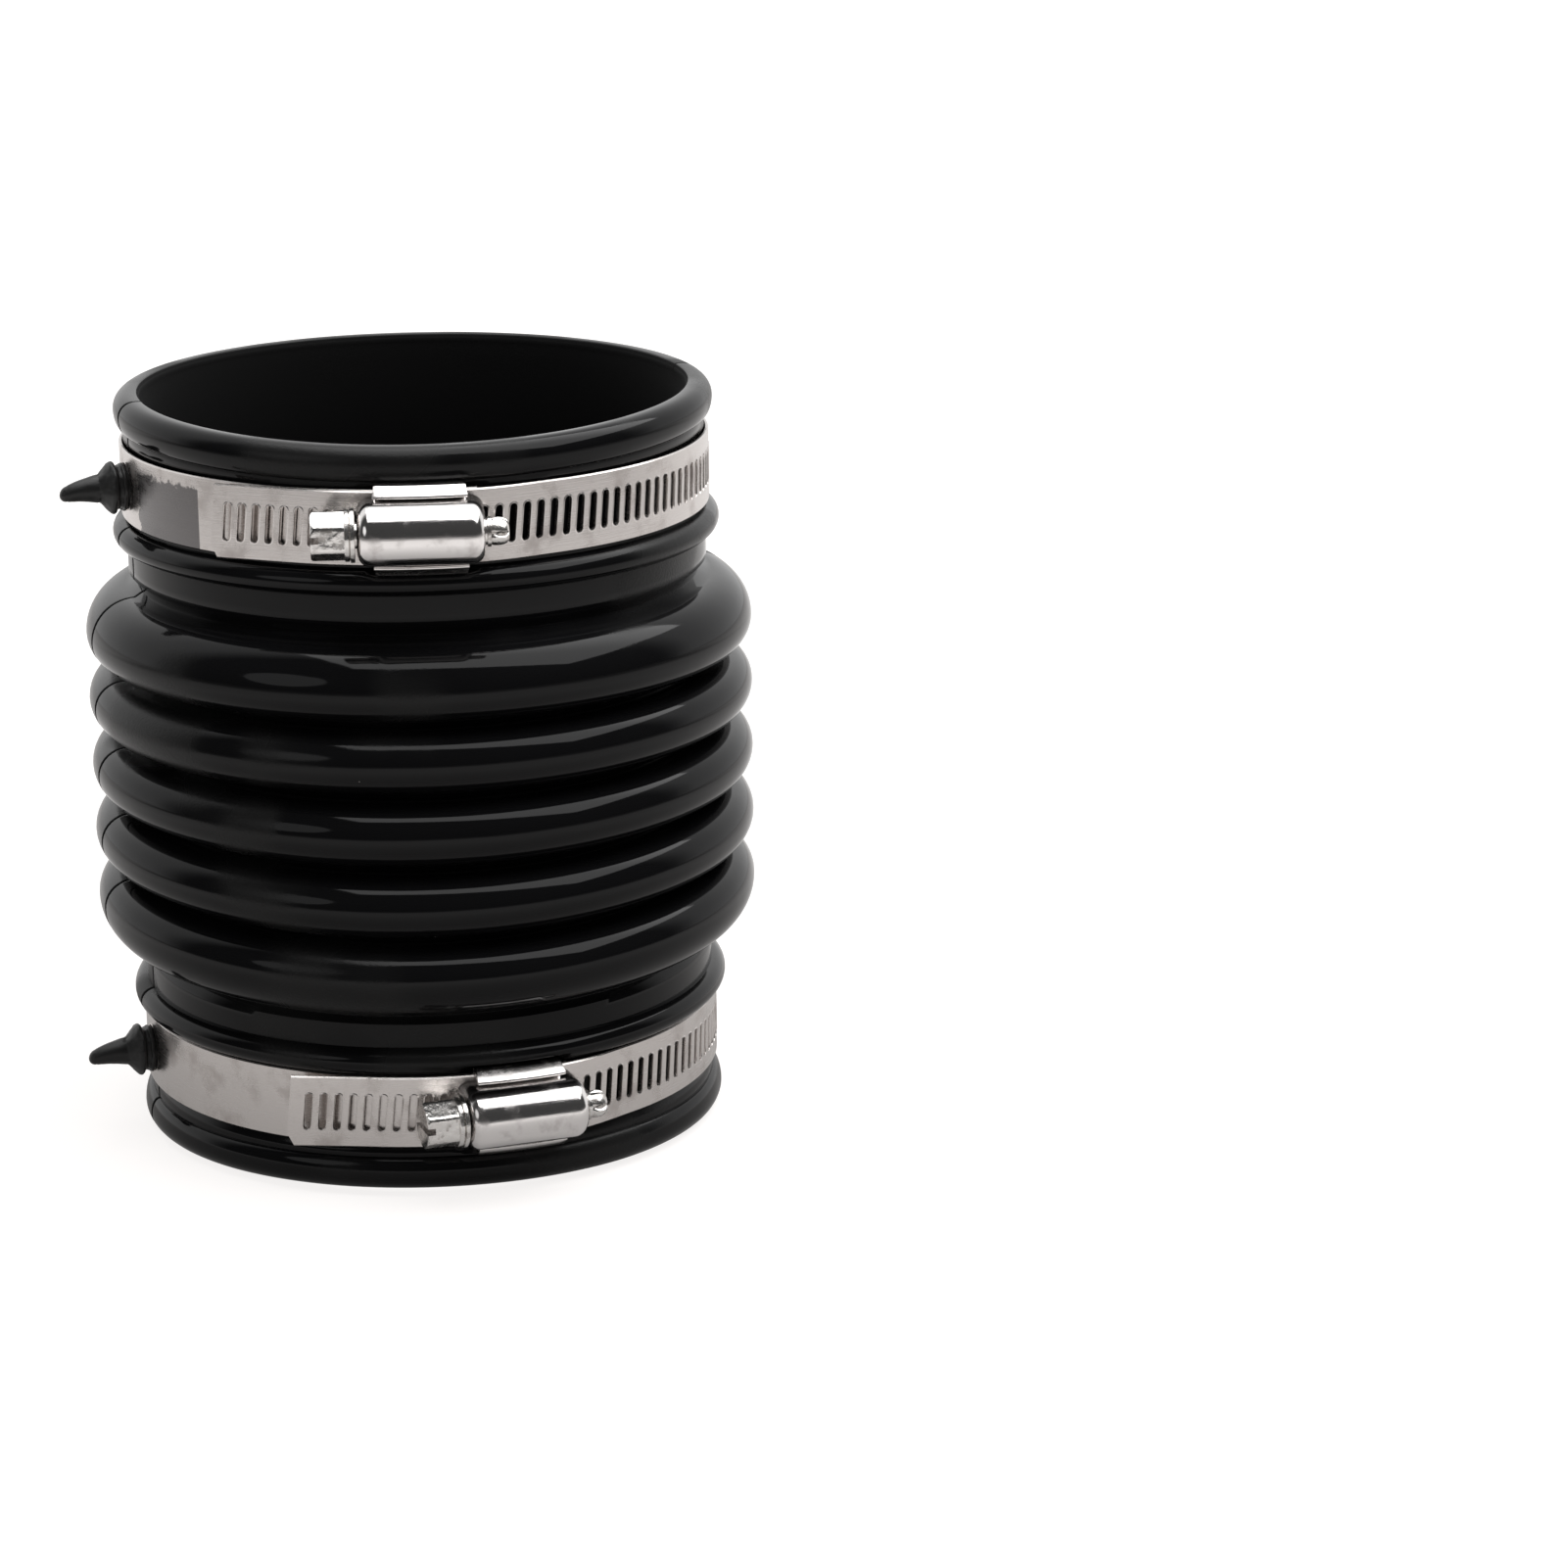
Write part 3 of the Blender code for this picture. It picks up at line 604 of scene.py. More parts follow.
@dataclass(frozen=True)
class RolledBand:
    """Bright rolled strip: fine lines along it, soft smudges, a warm cast and a painted shadow under the
    lifted tail.
    """

    name: str
    # where the painted shadow under the lifted tail lies along the strip, and its colour
    patch: Point2
    tail_shadow_colour: Colour = (0.19, 0.182, 0.182)
    colour: Colour = (0.66, 0.625, 0.605)
    smudge_colour: Colour = (0.50, 0.46, 0.44)
    roughness: float = 0.24
    smudge_roughness: float = 0.36
    bump_distance: float = 0.000010
    lines_across: float = 9000.0
    lines_along: float = 90.0
    lines_roughness: float = 0.22
    smudge_scale: float = 150.0
    ragged_scale: float = 700.0
    ragged_reach: float = 0.004
    # height across the strip where the painted tail shadow stops
    tail_shadow_top: Point2 = (0.0036, 0.0042)

    def material(self) -> bpy.types.Material:
        """Builds the material.

        Returns:
            The strip's steel.
        """
        material, w, shader = new_material(self.name)
        where = w.node("ShaderNodeAttribute", {"attribute_name": "strip"}).outputs["Vector"]
        lines = ShaderGroups.place(
            w, ShaderGroups.drawn_lines(),
            {"Vector": where, "Across": self.lines_across, "Along": self.lines_along},
        ).outputs["Value"]
        smudge = ShaderGroups.place(
            w, ShaderGroups.smudges(),
            {"Vector": where, "Scale": self.smudge_scale, "Low": 0.48, "High": 0.72},
        ).outputs["Mask"]
        along, across, _ = w.separate(where)
        # painted shadow of the lifted tail on the band beneath it, with a ragged edge
        torn = w.maths("SUBTRACT", w.noise(where, self.ragged_scale, 3.0, 0.6), 0.5)
        ragged = w.maths("MULTIPLY", torn, self.ragged_reach)
        begun = w.ramp(w.maths("ADD", along, ragged), self.patch[0], self.patch[0] + 0.0004)
        ended = w.ramp(along, self.patch[1] - 0.0002, self.patch[1], (1.0, 0.0))
        below = w.ramp(w.maths("ADD", across, ragged), *self.tail_shadow_top, (1.0, 0.0))
        patch = w.maths("MULTIPLY", w.maths("MULTIPLY", begun, ended), below)
        colour = w.mix_colour(smudge, self.colour, self.smudge_colour)
        w.feed(shader.inputs["Base Color"], w.mix_colour(patch, colour, self.tail_shadow_colour))
        rough = w.ramp(smudge, 0.0, 1.0, (self.roughness, self.smudge_roughness))
        streak = w.maths("MULTIPLY", w.maths("SUBTRACT", lines, 0.5), self.lines_roughness)
        w.feed(shader.inputs["Roughness"], w.maths("ADD", rough, streak, clamp=True))
        shader.inputs["Metallic"].default_value = 1.0
        bump = {"Strength": 1.0, "Distance": self.bump_distance, "Height": lines}
        w.feed(shader.inputs["Normal"], w.node("ShaderNodeBump", None, bump).outputs[0])
        return material


@dataclass(frozen=True)
class PolishedSheet:
    """Mirror-bright pressed sheet with fine polishing lines along the screw."""

    name: str
    azimuth: float
    colour: Colour = (0.80, 0.775, 0.765)
    smudge_colour: Colour = (0.62, 0.59, 0.58)
    roughness: float = 0.13
    smudge_roughness: float = 0.26
    bump_distance: float = 0.000008
    pit_colour: Colour = (0.85, 0.84, 0.82)
    lines_across: float = 5200.0
    lines_along: float = 120.0
    lines_roughness: float = 0.16
    smudge_scale: float = 260.0
    pit_scale: float = 700.0
    pit_share: float = 0.05
    pit_size: float = 0.12

    def material(self) -> bpy.types.Material:
        """Builds the material.

        Returns:
            The sheet steel.
        """
        material, w, shader = new_material(self.name)
        where = w.node("ShaderNodeTexCoord").outputs["Object"]
        turned = w.node(
            "ShaderNodeMapping", None,
            {"Vector": where, "Rotation": (0.0, 0.0, math.pi / 2 - self.azimuth - math.pi)},
        ).outputs[0]
        lines = ShaderGroups.place(
            w, ShaderGroups.drawn_lines(),
            {"Vector": turned, "Across": self.lines_across, "Along": self.lines_along},
        ).outputs["Value"]
        smudge = ShaderGroups.place(
            w, ShaderGroups.smudges(),
            {"Vector": where, "Scale": self.smudge_scale, "Low": 0.5, "High": 0.75},
        ).outputs["Mask"]
        pitted = {"Vector": where, "Scale": self.pit_scale, "Share": self.pit_share, "Size": self.pit_size}
        pits = ShaderGroups.place(w, ShaderGroups.specks(), pitted).outputs["Mask"]
        colour = w.mix_colour(smudge, self.colour, self.smudge_colour)
        w.feed(shader.inputs["Base Color"], w.mix_colour(pits, colour, self.pit_colour))
        rough = w.ramp(smudge, 0.0, 1.0, (self.roughness, self.smudge_roughness))
        streak = w.maths("MULTIPLY", w.maths("SUBTRACT", lines, 0.5), self.lines_roughness)
        rough = w.maths("ADD", rough, streak)
        w.feed(shader.inputs["Roughness"], w.maths("ADD", rough, w.maths("MULTIPLY", pits, 0.3), clamp=True))
        shader.inputs["Metallic"].default_value = 1.0
        height = w.maths("ADD", lines, w.maths("MULTIPLY", pits, -2.0))
        bump = {"Strength": 1.0, "Distance": self.bump_distance, "Height": height}
        w.feed(shader.inputs["Normal"], w.node("ShaderNodeBump", None, bump).outputs[0])
        return material


@dataclass(frozen=True)
class CrinkledPlating:
    """Bright plating on a forged screw: a crinkled, pitted skin."""

    colour: Colour = (0.74, 0.72, 0.70)
    pit_colour: Colour = (0.30, 0.27, 0.25)
    roughness: float = 0.17
    bump_distance: float = 0.00012
    grain_scale: float = 1500.0
    patch_scale: float = 260.0
    patch_share: float = 0.75
    crinkle_scale: float = 520.0

    def material(self) -> bpy.types.Material:
        """Builds the material.

        Returns:
            The plated steel.
        """
        material, w, shader = new_material("plated_screw_steel_skin")
        where = w.node("ShaderNodeTexCoord").outputs["Object"]
        patchy = {
            "Vector": where, "Grain Scale": self.grain_scale,
            "Patch Scale": self.patch_scale, "Patch Share": self.patch_share,
        }
        grain = ShaderGroups.place(w, ShaderGroups.grain(), patchy)
        crinkle = w.noise(where, self.crinkle_scale, 3.0, 0.6)
        deep = w.ramp(crinkle, 0.34, 0.46, (1.0, 0.0))
        pitted = w.maths("MULTIPLY", deep, 0.6)
        w.feed(shader.inputs["Base Color"], w.mix_colour(pitted, self.colour, self.pit_colour))
        rough = w.ramp(crinkle, 0.3, 0.7, (self.roughness + 0.14, self.roughness))
        w.feed(shader.inputs["Roughness"], rough)
        shader.inputs["Metallic"].default_value = 1.0
        height = w.maths("ADD", crinkle, w.maths("MULTIPLY", grain.outputs["Height"], 0.35))
        bump = {"Strength": 1.0, "Distance": self.bump_distance, "Height": height}
        w.feed(shader.inputs["Normal"], w.node("ShaderNodeBump", None, bump).outputs[0])
        return material


class Ending(Enum):
    """Which end of the hose a clamp sits on."""

    UPPER = "upper"
    LOWER = "lower"


TAIL_LENGTHS = {Ending.UPPER: 0.0345, Ending.LOWER: 0.0375}


@dataclass(frozen=True)
class ClampSeat:
    """Where one clamp sits, read from its screw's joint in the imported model."""

    ending: Ending
    azimuth: float
    height: float
    screw_radius: float
    tail_length: float

    @classmethod
    def read(cls, ending: Ending, tail_length: float) -> "ClampSeat":
        """Reads the joint of a clamp's screw.

        Args:
            ending: Which end of the hose the clamp sits on.
            tail_length: How far the strip's tail reaches past the worm's middle.

        Returns:
            The clamp's place.
        """
        joint = next(j for j in frame["joints"] if j["name"] == ending.value + "_screw_turn")
        x, y, z = joint["pos_m"]
        return cls(ending, math.atan2(y, x), z, math.hypot(x, y), tail_length)

    @property
    def place(self) -> Matrix:
        """Turns and raises what is drawn at azimuth 0 and height 0."""
        return Matrix.Translation((0, 0, self.height)) @ Matrix.Rotation(self.azimuth, 4, "Z")

    @property
    def body(self) -> str:
        """The CAD body that carries the band, the saddle and the housing."""
        return "upper_clamp" if self.ending is Ending.UPPER else "hose"

    def named(self, part: str) -> str:
        """The CAD node's name of one of the clamp's parts."""
        return f"{self.ending.value}_clamp_{part}"


@dataclass
class BellowsHose:
    """The moulded hose: rims, cuffs, collars and five round convolutions."""

    seats: Sequence[ClampSeat]
    length: float = 0.1256
    sides: int = 280
    bore_radius: float = 0.0445
    cuff_radius: float = 0.0479
    rim_radius: float = 0.04965
    rim_depth: float = 0.0027
    undercut_depth: float = 0.0056
    flat_inner: float = 0.0460
    flat_width: float = 0.0010
    lip_radius: float = 0.0452
    lip_depth: float = 0.0018
    lead_in_depth: float = 0.0034
    ledge_rise: float = 0.0003
    seat_start: float = 0.00795
    seat_end: float = 0.02075
    collar_height: float = 0.0046
    collar_bulge: float = 0.00265
    step_radius: float = 0.0483
    step_length: float = 0.0044
    neck_radius: float = 0.0470
    neck_chamfer: float = 0.0013
    neck_length: float = 0.0008
    fold_count: int = 5
    fold_pitch: float = 0.011365
    fold_radius: float = 0.0558
    crest_round: float = 0.0047
    shoulder_round: float = 0.0074
    valley_radius: float = 0.0464
    wall: float = 0.0023
    seam_azimuth: float = math.radians(234)
    seam_depth: float = 0.00042
    seam_half_width: float = 0.00026
    seam_crowding: float = 0.9
    wobble: float = 0.00012
    wobble_scale: float = 42.0
    top_sag: float = 0.0014
    bottom_lift: float = 0.0009
    fold_droop: float = 0.0018
    front_azimuth: float = math.radians(310)
    dent_floor: float = 0.0470
    dent_half_length: float = 0.0071
    dent_half_height: float = 0.0072

    @property
    def valley_round(self) -> float:
        """Radius of a valley between two crests."""
        return self.fold_pitch / 2 - self.crest_round

    def fold_depths(self) -> list[float]:
        """Depths of the crests from an end face to the middle."""
        half = (self.fold_count - 1) // 2
        return [self.length / 2 - self.fold_pitch * k for k in range(half, -1, -1)]

    def outer_half(self) -> list[Point2]:
        """Outside of the section, from the rim's end face to the middle.

        Returns:
            The points, each as (radius, depth from the end face).
        """
        flat = self.flat_inner + self.flat_width
        ledge = self.cuff_radius + self.ledge_rise
        undercut = self.undercut_depth - self.rim_depth
        points = arc((flat, self.rim_depth), (self.rim_radius - flat, self.rim_depth), -90, 0, 10)
        points += arc((ledge, self.rim_depth), (self.rim_radius - ledge, undercut), 0, 90, 8)[1:]
        points += [(ledge, self.undercut_depth + 0.0003), (ledge, self.seat_start - self.ledge_rise)]
        seat_rows = 12
        for i in range(seat_rows):
            down = self.seat_start + (self.seat_end - self.seat_start) * i / seat_rows
            points.append((self.cuff_radius, down))
        points += self.collar()
        step_end = self.seat_end + self.collar_height + self.step_length
        points += [(self.step_radius, step_end - 0.0015), (self.step_radius, step_end)]
        points += [(self.neck_radius + 0.0003, step_end + self.neck_chamfer - 0.0002)]
        points += [(self.neck_radius, step_end + self.neck_chamfer + self.neck_length)]
        return points + self.outer_folds()

    def collar(self) -> list[Point2]:
        """The collar bead behind the clamp's seat.

        Returns:
            The points, each as (radius, depth from the end face).
        """
        centre = (self.cuff_radius, self.seat_end + self.collar_height / 2)
        meets = math.degrees(math.acos((self.step_radius - self.cuff_radius) / self.collar_bulge))
        return arc(centre, (self.collar_bulge, self.collar_height / 2), -90, meets, 16)

    def outer_folds(self) -> list[Point2]:
        """Crests and valleys, with a wider shoulder on the first crest.

        Returns:
            The points, each as (radius, depth from the end face).
        """
        depths = self.fold_depths()
        crest = self.fold_radius - self.crest_round
        shoulder = self.fold_radius - self.shoulder_round
        valley = self.valley_radius + self.valley_round
        points = arc((shoulder, depths[0]), (self.shoulder_round,) * 2, -90, 0, 14)
        points += arc((crest, depths[0]), (self.crest_round,) * 2, 0, 90, 9)[1:]
        for depth in depths[1:]:
            points += arc((valley, depth - self.fold_pitch / 2), (self.valley_round,) * 2, -90, -270, 5)
            end, steps = (0, 9) if depth == depths[-1] else (90, 18)
            points += arc((crest, depth), (self.crest_round,) * 2, -90, end, steps)
        return points

    def inner_half(self) -> list[Point2]:
        """Inside of the section, one wall thickness in, from the end face to the middle.

        Returns:
            The points, each as (radius, depth from the end face).
        """
        depths = self.fold_depths()
        shoulder = self.shoulder_round - self.wall
        at = self.fold_radius - self.shoulder_round
        corner = (at - self.bore_radius) / 2
        lip = (self.lip_radius - self.flat_inner, self.lip_depth)
        points = arc((self.flat_inner, self.lip_depth), lip, -90, 0, 6)
        points += [(self.bore_radius, self.lead_in_depth)]
        turn = (self.bore_radius + corner, depths[0] - shoulder - corner)
        points += arc(turn, (corner, corner), 180, 90, 4)
        points += arc((at, depths[0]), (shoulder, shoulder), -90, 0, 6)
        crest_round, valley_round = self.crest_round - self.wall, self.valley_round + self.wall
        crest = self.fold_radius - self.crest_round
        points += arc((crest, depths[0]), (crest_round,) * 2, 0, 90, 4)[1:]
        for depth in depths[1:]:
            valley = (self.valley_radius + self.valley_round, depth - self.fold_pitch / 2)
            points += arc(valley, (valley_round,) * 2, -90, -270, 8)
            end, steps = (0, 4) if depth == depths[-1] else (90, 8)
            points += arc((crest, depth), (crest_round,) * 2, -90, end, steps)
        return points

    def section(self) -> list[tuple[float, float, float]]:
        """The closed section as points in the XZ plane, first point repeated.

        Returns:
            The points.
        """
        halves = []
        for half in (self.outer_half(), self.inner_half()):
            halves.append(half + [(r, self.length - z) for r, z in reversed(half[:-1])])
        loop = halves[0] + list(reversed(halves[1]))
        return [(radius, 0.0, height) for radius, height in loop + loop[:1]]

    def mesh(self, material: bpy.types.Material) -> bpy.types.Mesh:
        """Turns the section about the hose's axis, with dents, a parting line and slight unevenness.

        Args:
            material: The material that it gets.

        Returns:
            The hose's mesh.
        """
        tree = GeometryTree("Turned Hose")
        sides = tree.input("Sides", "Int", self.sides)
        start = tree.input("Seam Azimuth", "Float", self.seam_azimuth)
        groove = tree.input("Seam Depth", "Float", self.seam_depth)
        crowding = tree.input("Seam Crowding", "Float", self.seam_crowding)
        wobble = tree.input("Unevenness", "Float", self.wobble)
        radius, height, even, grid = turned_section(tree, sides, 0.0)
        pull = tree.maths("MULTIPLY", tree.maths("SINE", tree.maths("MULTIPLY", even, 2.0)), 0.5)
        turned = tree.maths("MULTIPLY_ADD", pull, tree.maths("MULTIPLY", crowding, -1.0), even)
        angle = tree.maths("ADD", turned, start)
        off = tree.maths("MULTIPLY", tree.maths("ABSOLUTE", tree.maths("SINE", turned)), radius)
        seam = tree.ramp(off, self.seam_half_width * 0.4, self.seam_half_width * 2.2, (1.0, 0.0))
        flat = tree.combine(tree.maths("COSINE", angle), tree.maths("SINE", angle), 0.0)
        where = tree.vector("ADD", scaled(tree, flat, self.cuff_radius), tree.combine(0.0, 0.0, height))
        uneven = tree.maths("MULTIPLY", tree.noise(where, self.wobble_scale, 2.0, 0.5), wobble)
        radius = tree.maths("SUBTRACT", radius, uneven)
        outside = tree.maths("LESS_THAN", row_of(tree, len(self.section())), 2 * len(self.outer_half()) - 1.5)
        groove = tree.maths("MULTIPLY", groove, outside)
        radius = tree.maths("SUBTRACT", radius, tree.maths("MULTIPLY", seam, groove))
        for seat in self.seats:
            radius = self.dented(tree, radius, height, angle, seat)
        height = self.slumped(tree, height, angle)
        placed = tree.vector("ADD", scaled(tree, flat, radius), tree.combine(0.0, 0.0, height))
        tree.finish(set_position(tree, grid, placed), material)
        return tree.grow("hose", line_mesh("hose_section", self.section()))

    def slumped(
        self,
        tree: GeometryTree,
        height: bpy.types.NodeSocket,
        angle: bpy.types.NodeSocket,
    ) -> bpy.types.NodeSocket:
        """Lets the front of the upper rim and of the lower folds sag and the front of the lower rim lift.

        Args:
            tree: The hose's tree.
            height: Height of a point before.
            angle: Its azimuth.

        Returns:
            The height after.
        """
        turned = tree.maths("COSINE", tree.maths("SUBTRACT", angle, self.front_azimuth))
        facing = tree.maths("MAXIMUM", turned, 0.0)
        share = tree.maths("MULTIPLY", facing, facing)
        top = tree.ramp(height, self.length - self.seat_start, self.length - self.undercut_depth)
        low = tree.ramp(height, self.undercut_depth, self.seat_start, (1.0, 0.0))
        first, last = self.length - self.fold_depths()[0], self.fold_depths()[0]
        drooping = tree.ramp(height, last, first, (self.fold_droop, 0.0))
        neck = self.seat_end + self.collar_height + self.step_length
        drooping = tree.maths("MULTIPLY", drooping, tree.ramp(height, neck - 0.0025, neck + 0.0045))
        moved = tree.maths("MULTIPLY", low, self.bottom_lift)
        moved = tree.maths("SUBTRACT", moved, tree.maths("MULTIPLY", top, self.top_sag))
        moved = tree.maths("SUBTRACT", moved, drooping)
        return tree.maths("MULTIPLY_ADD", moved, share, height)

    def dented(
        self,
        tree: GeometryTree,
        radius: bpy.types.NodeSocket,
        height: bpy.types.NodeSocket,
        angle: bpy.types.NodeSocket,
        seat: ClampSeat,
    ) -> bpy.types.NodeSocket:
        """Presses the rubber in under a clamp's saddle.

        Args:
            tree: The hose's tree.
            radius: Radius of a point before.
            height: Its height.
            angle: Its azimuth.
            seat: The clamp's place.

        Returns:
            The radius after.
        """
        half = self.dent_half_length / self.cuff_radius
        facing = tree.maths("COSINE", tree.maths("SUBTRACT", angle, seat.azimuth))
        along = tree.ramp(facing, math.cos(half * 1.25), math.cos(half))
        off = tree.maths("ABSOLUTE", tree.maths("SUBTRACT", height, seat.height))
        up = tree.ramp(off, self.dent_half_height, self.dent_half_height + 0.0006, (1.0, 0.0))
        outside = tree.maths("GREATER_THAN", radius, self.cuff_radius - 0.0008)
        depth = tree.maths("MAXIMUM", tree.maths("SUBTRACT", radius, self.dent_floor), 0.0)
        share = tree.maths("MULTIPLY", tree.maths("MULTIPLY", along, up), outside)
        return tree.maths("SUBTRACT", radius, tree.maths("MULTIPLY", share, depth))

    def build(self, rubber: bpy.types.Material) -> list[bpy.types.Object]:
        """Makes the hose and hides the imported one.

        Args:
            rubber: The rubber's material.

        Returns:
            The hose alone, in a list.
        """
        hose = piece("bellows_hose", self.mesh(rubber), sharp=50)
        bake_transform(hose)
        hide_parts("hose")
        return [hose]


def row_of(tree: GeometryTree, count: int) -> bpy.types.NodeSocket:
    """Each grid point's place in the section that was turned."""
    index = tree.node("GeometryNodeInputIndex").outputs[0]
    return tree.maths("MODULO", index, float(count))


def turned_section(tree: GeometryTree, sides: Any, start: Any) -> tuple:
    """Nodes that turn the modifier's own line of points about Z.

    Args:
        tree: The tree that gets the nodes.
        sides: How many steps a full turn has.
        start: Azimuth of the first step.

    Returns:
        The radius, height and azimuth of each new point, and the grid that they belong to.
    """
    count = tree.node("GeometryNodeAttributeDomainSize", None, {0: tree.entry.outputs[0]}).outputs[0]
    columns = tree.maths("ADD", sides, 1.0)
    grid = tree.node("GeometryNodeMeshGrid", None, {"Vertices X": columns, "Vertices Y": count}).outputs[0]
    index = tree.node("GeometryNodeInputIndex").outputs[0]
    row = tree.maths("MODULO", index, count)
    column = tree.maths("FLOOR", tree.maths("DIVIDE", tree.maths("ADD", index, 0.5), count))
    angle = tree.maths("MULTIPLY_ADD", tree.maths("DIVIDE", column, sides), FULL_TURN, start)
    here = tree.node("GeometryNodeInputPosition").outputs[0]
    settings = {"data_type": "FLOAT_VECTOR", "domain": "POINT"}
    sampled = tree.node("GeometryNodeSampleIndex", settings, {0: tree.entry.outputs[0]})
    tree.feed(sampled.inputs["Value"], here)
    tree.feed(sampled.inputs["Index"], row)
    radius, _, height = tree.separate(sampled.outputs[0])
    return radius, height, angle, grid


def scaled(tree: Wiring, vector: Any, factor: Any) -> bpy.types.NodeSocket:
    """A vector times a number."""
    node = tree.node("ShaderNodeVectorMath", {"operation": "SCALE"}, {0: vector, "Scale": factor})
    return node.outputs[0]


def set_position(tree: GeometryTree, geometry: Any, position: Any) -> bpy.types.NodeSocket:
    """Moves a geometry's points to new places."""
    inputs = {"Geometry": geometry, "Position": position}
    return tree.node("GeometryNodeSetPosition", None, inputs).outputs[0]


def turned_mesh(
    name: str, profile: Sequence[Point2], sides: int, material: bpy.types.Material
) -> bpy.types.Mesh:
    """A profile of (radius, height) points turned about Z.

    Args:
        name: Its name.
        profile: The points, each as (radius, height).
        sides: How many steps a full turn has.
        material: The material that it gets.

    Returns:
        The turned mesh.
    """
    tree = GeometryTree("Turned " + name)
    count = tree.input("Sides", "Int", sides)
    radius, height, angle, grid = turned_section(tree, count, 0.0)
    flat = tree.combine(tree.maths("COSINE", angle), tree.maths("SINE", angle), 0.0)
    placed = tree.vector("ADD", scaled(tree, flat, radius), tree.combine(0.0, 0.0, height))
    tree.finish(set_position(tree, grid, placed), material)
    return tree.grow(name, line_mesh(name + "_profile", [(r, 0.0, z) for r, z in profile]))


@dataclass
class RetainingNib:
    """The moulded nib that holds a band in place: neck, barb and a thin drooping pull tail."""

    seat: ClampSeat
    cuff_radius: float
    azimuth: float
    neck_radius: float = 0.0035
    collar_start: float = 0.00115
    collar_radius: float = 0.0040
    groove_at: float = 0.0024
    groove_radius: float = 0.0036
    barb_at: float = 0.0032
    barb_radius: float = 0.0043
    tail_at: float = 0.0054
    tail_root: float = 0.0023
    tail_tip: float = 0.0013
    length: float = 0.0119
    droop: float = 0.0008
    lump: float = 0.00022
    lump_scale: float = 620.0
    sides: int = 72

    def profile(self) -> list[Point2]:
        """The nib's outline from inside the cuff's wall to its tip.

        Returns:
            The points, each as (radius, distance out from the cuff).
        """
        tip = self.length - self.tail_tip
        points = [(0.0, -0.0010), (self.neck_radius, -0.0010), (self.neck_radius, self.collar_start)]
        points += arc((self.collar_radius - 0.0004, self.collar_start + 0.0004), (0.0004, 0.0004), -90, 70, 6)
        points += arc((self.groove_radius + 0.0003, self.groove_at), (0.0003, 0.0003), 235, 125, 4)
        points += arc((self.barb_radius - 0.0004, self.barb_at), (0.0004, 0.0004), -70, 40, 5)
        for i in range(1, 8):
            t = i / 8
            radius = self.barb_radius + (self.tail_root + 0.0004 - self.barb_radius) * t
            points.append((radius, self.barb_at + 0.0003 + (self.tail_at - 0.0006 - self.barb_at) * t))
        points += arc((self.tail_root + 0.0007, self.tail_at + 0.0004), (0.0007, 0.0007), 225, 180, 4)
        for i in range(1, 10):
            t = i / 10
            radius = self.tail_root + (self.tail_tip - self.tail_root) * t
            points.append((radius, self.tail_at + 0.0004 + (tip - self.tail_at) * t))
        points += arc((0.0, tip), (self.tail_tip, self.tail_tip), 5, 90, 7)
        return points

    def build(self, rubber: bpy.types.Material) -> bpy.types.Object:
        """Makes the nib on the parting line, through its band's hole.

        Args:
            rubber: The rubber's material.

        Returns:
            The nib.
        """
        mesh = turned_mesh(self.seat.ending.value + "_nib", self.profile(), self.sides, rubber)
        for corner in mesh.vertices:
            out = max(corner.co.z - self.tail_at, 0.0) / (self.length - self.tail_at)
            flat = Vector((corner.co.x, corner.co.y, 0.0))
            torn = ease((corner.co.z - self.collar_start) / 0.0003) * (1.0 - ease(out / 0.15) * 0.8)
            rough = noise.fractal(corner.co * self.lump_scale, 0.8, 2.0, 3)
            corner.co += flat.normalized() * (self.lump * torn * rough)
            corner.co.x += self.droop * out * out
        outwards = Matrix.Rotation(math.pi / 2, 4, "Y")
        place = Matrix.Translation((0, 0, self.seat.height)) @ Matrix.Rotation(self.azimuth, 4, "Z")
        place = place @ Matrix.Translation((self.cuff_radius, 0, 0)) @ outwards
        nib = piece(self.seat.ending.value + "_retaining_nib", mesh, place, 45)
        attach(nib, self.seat.body)
        return nib


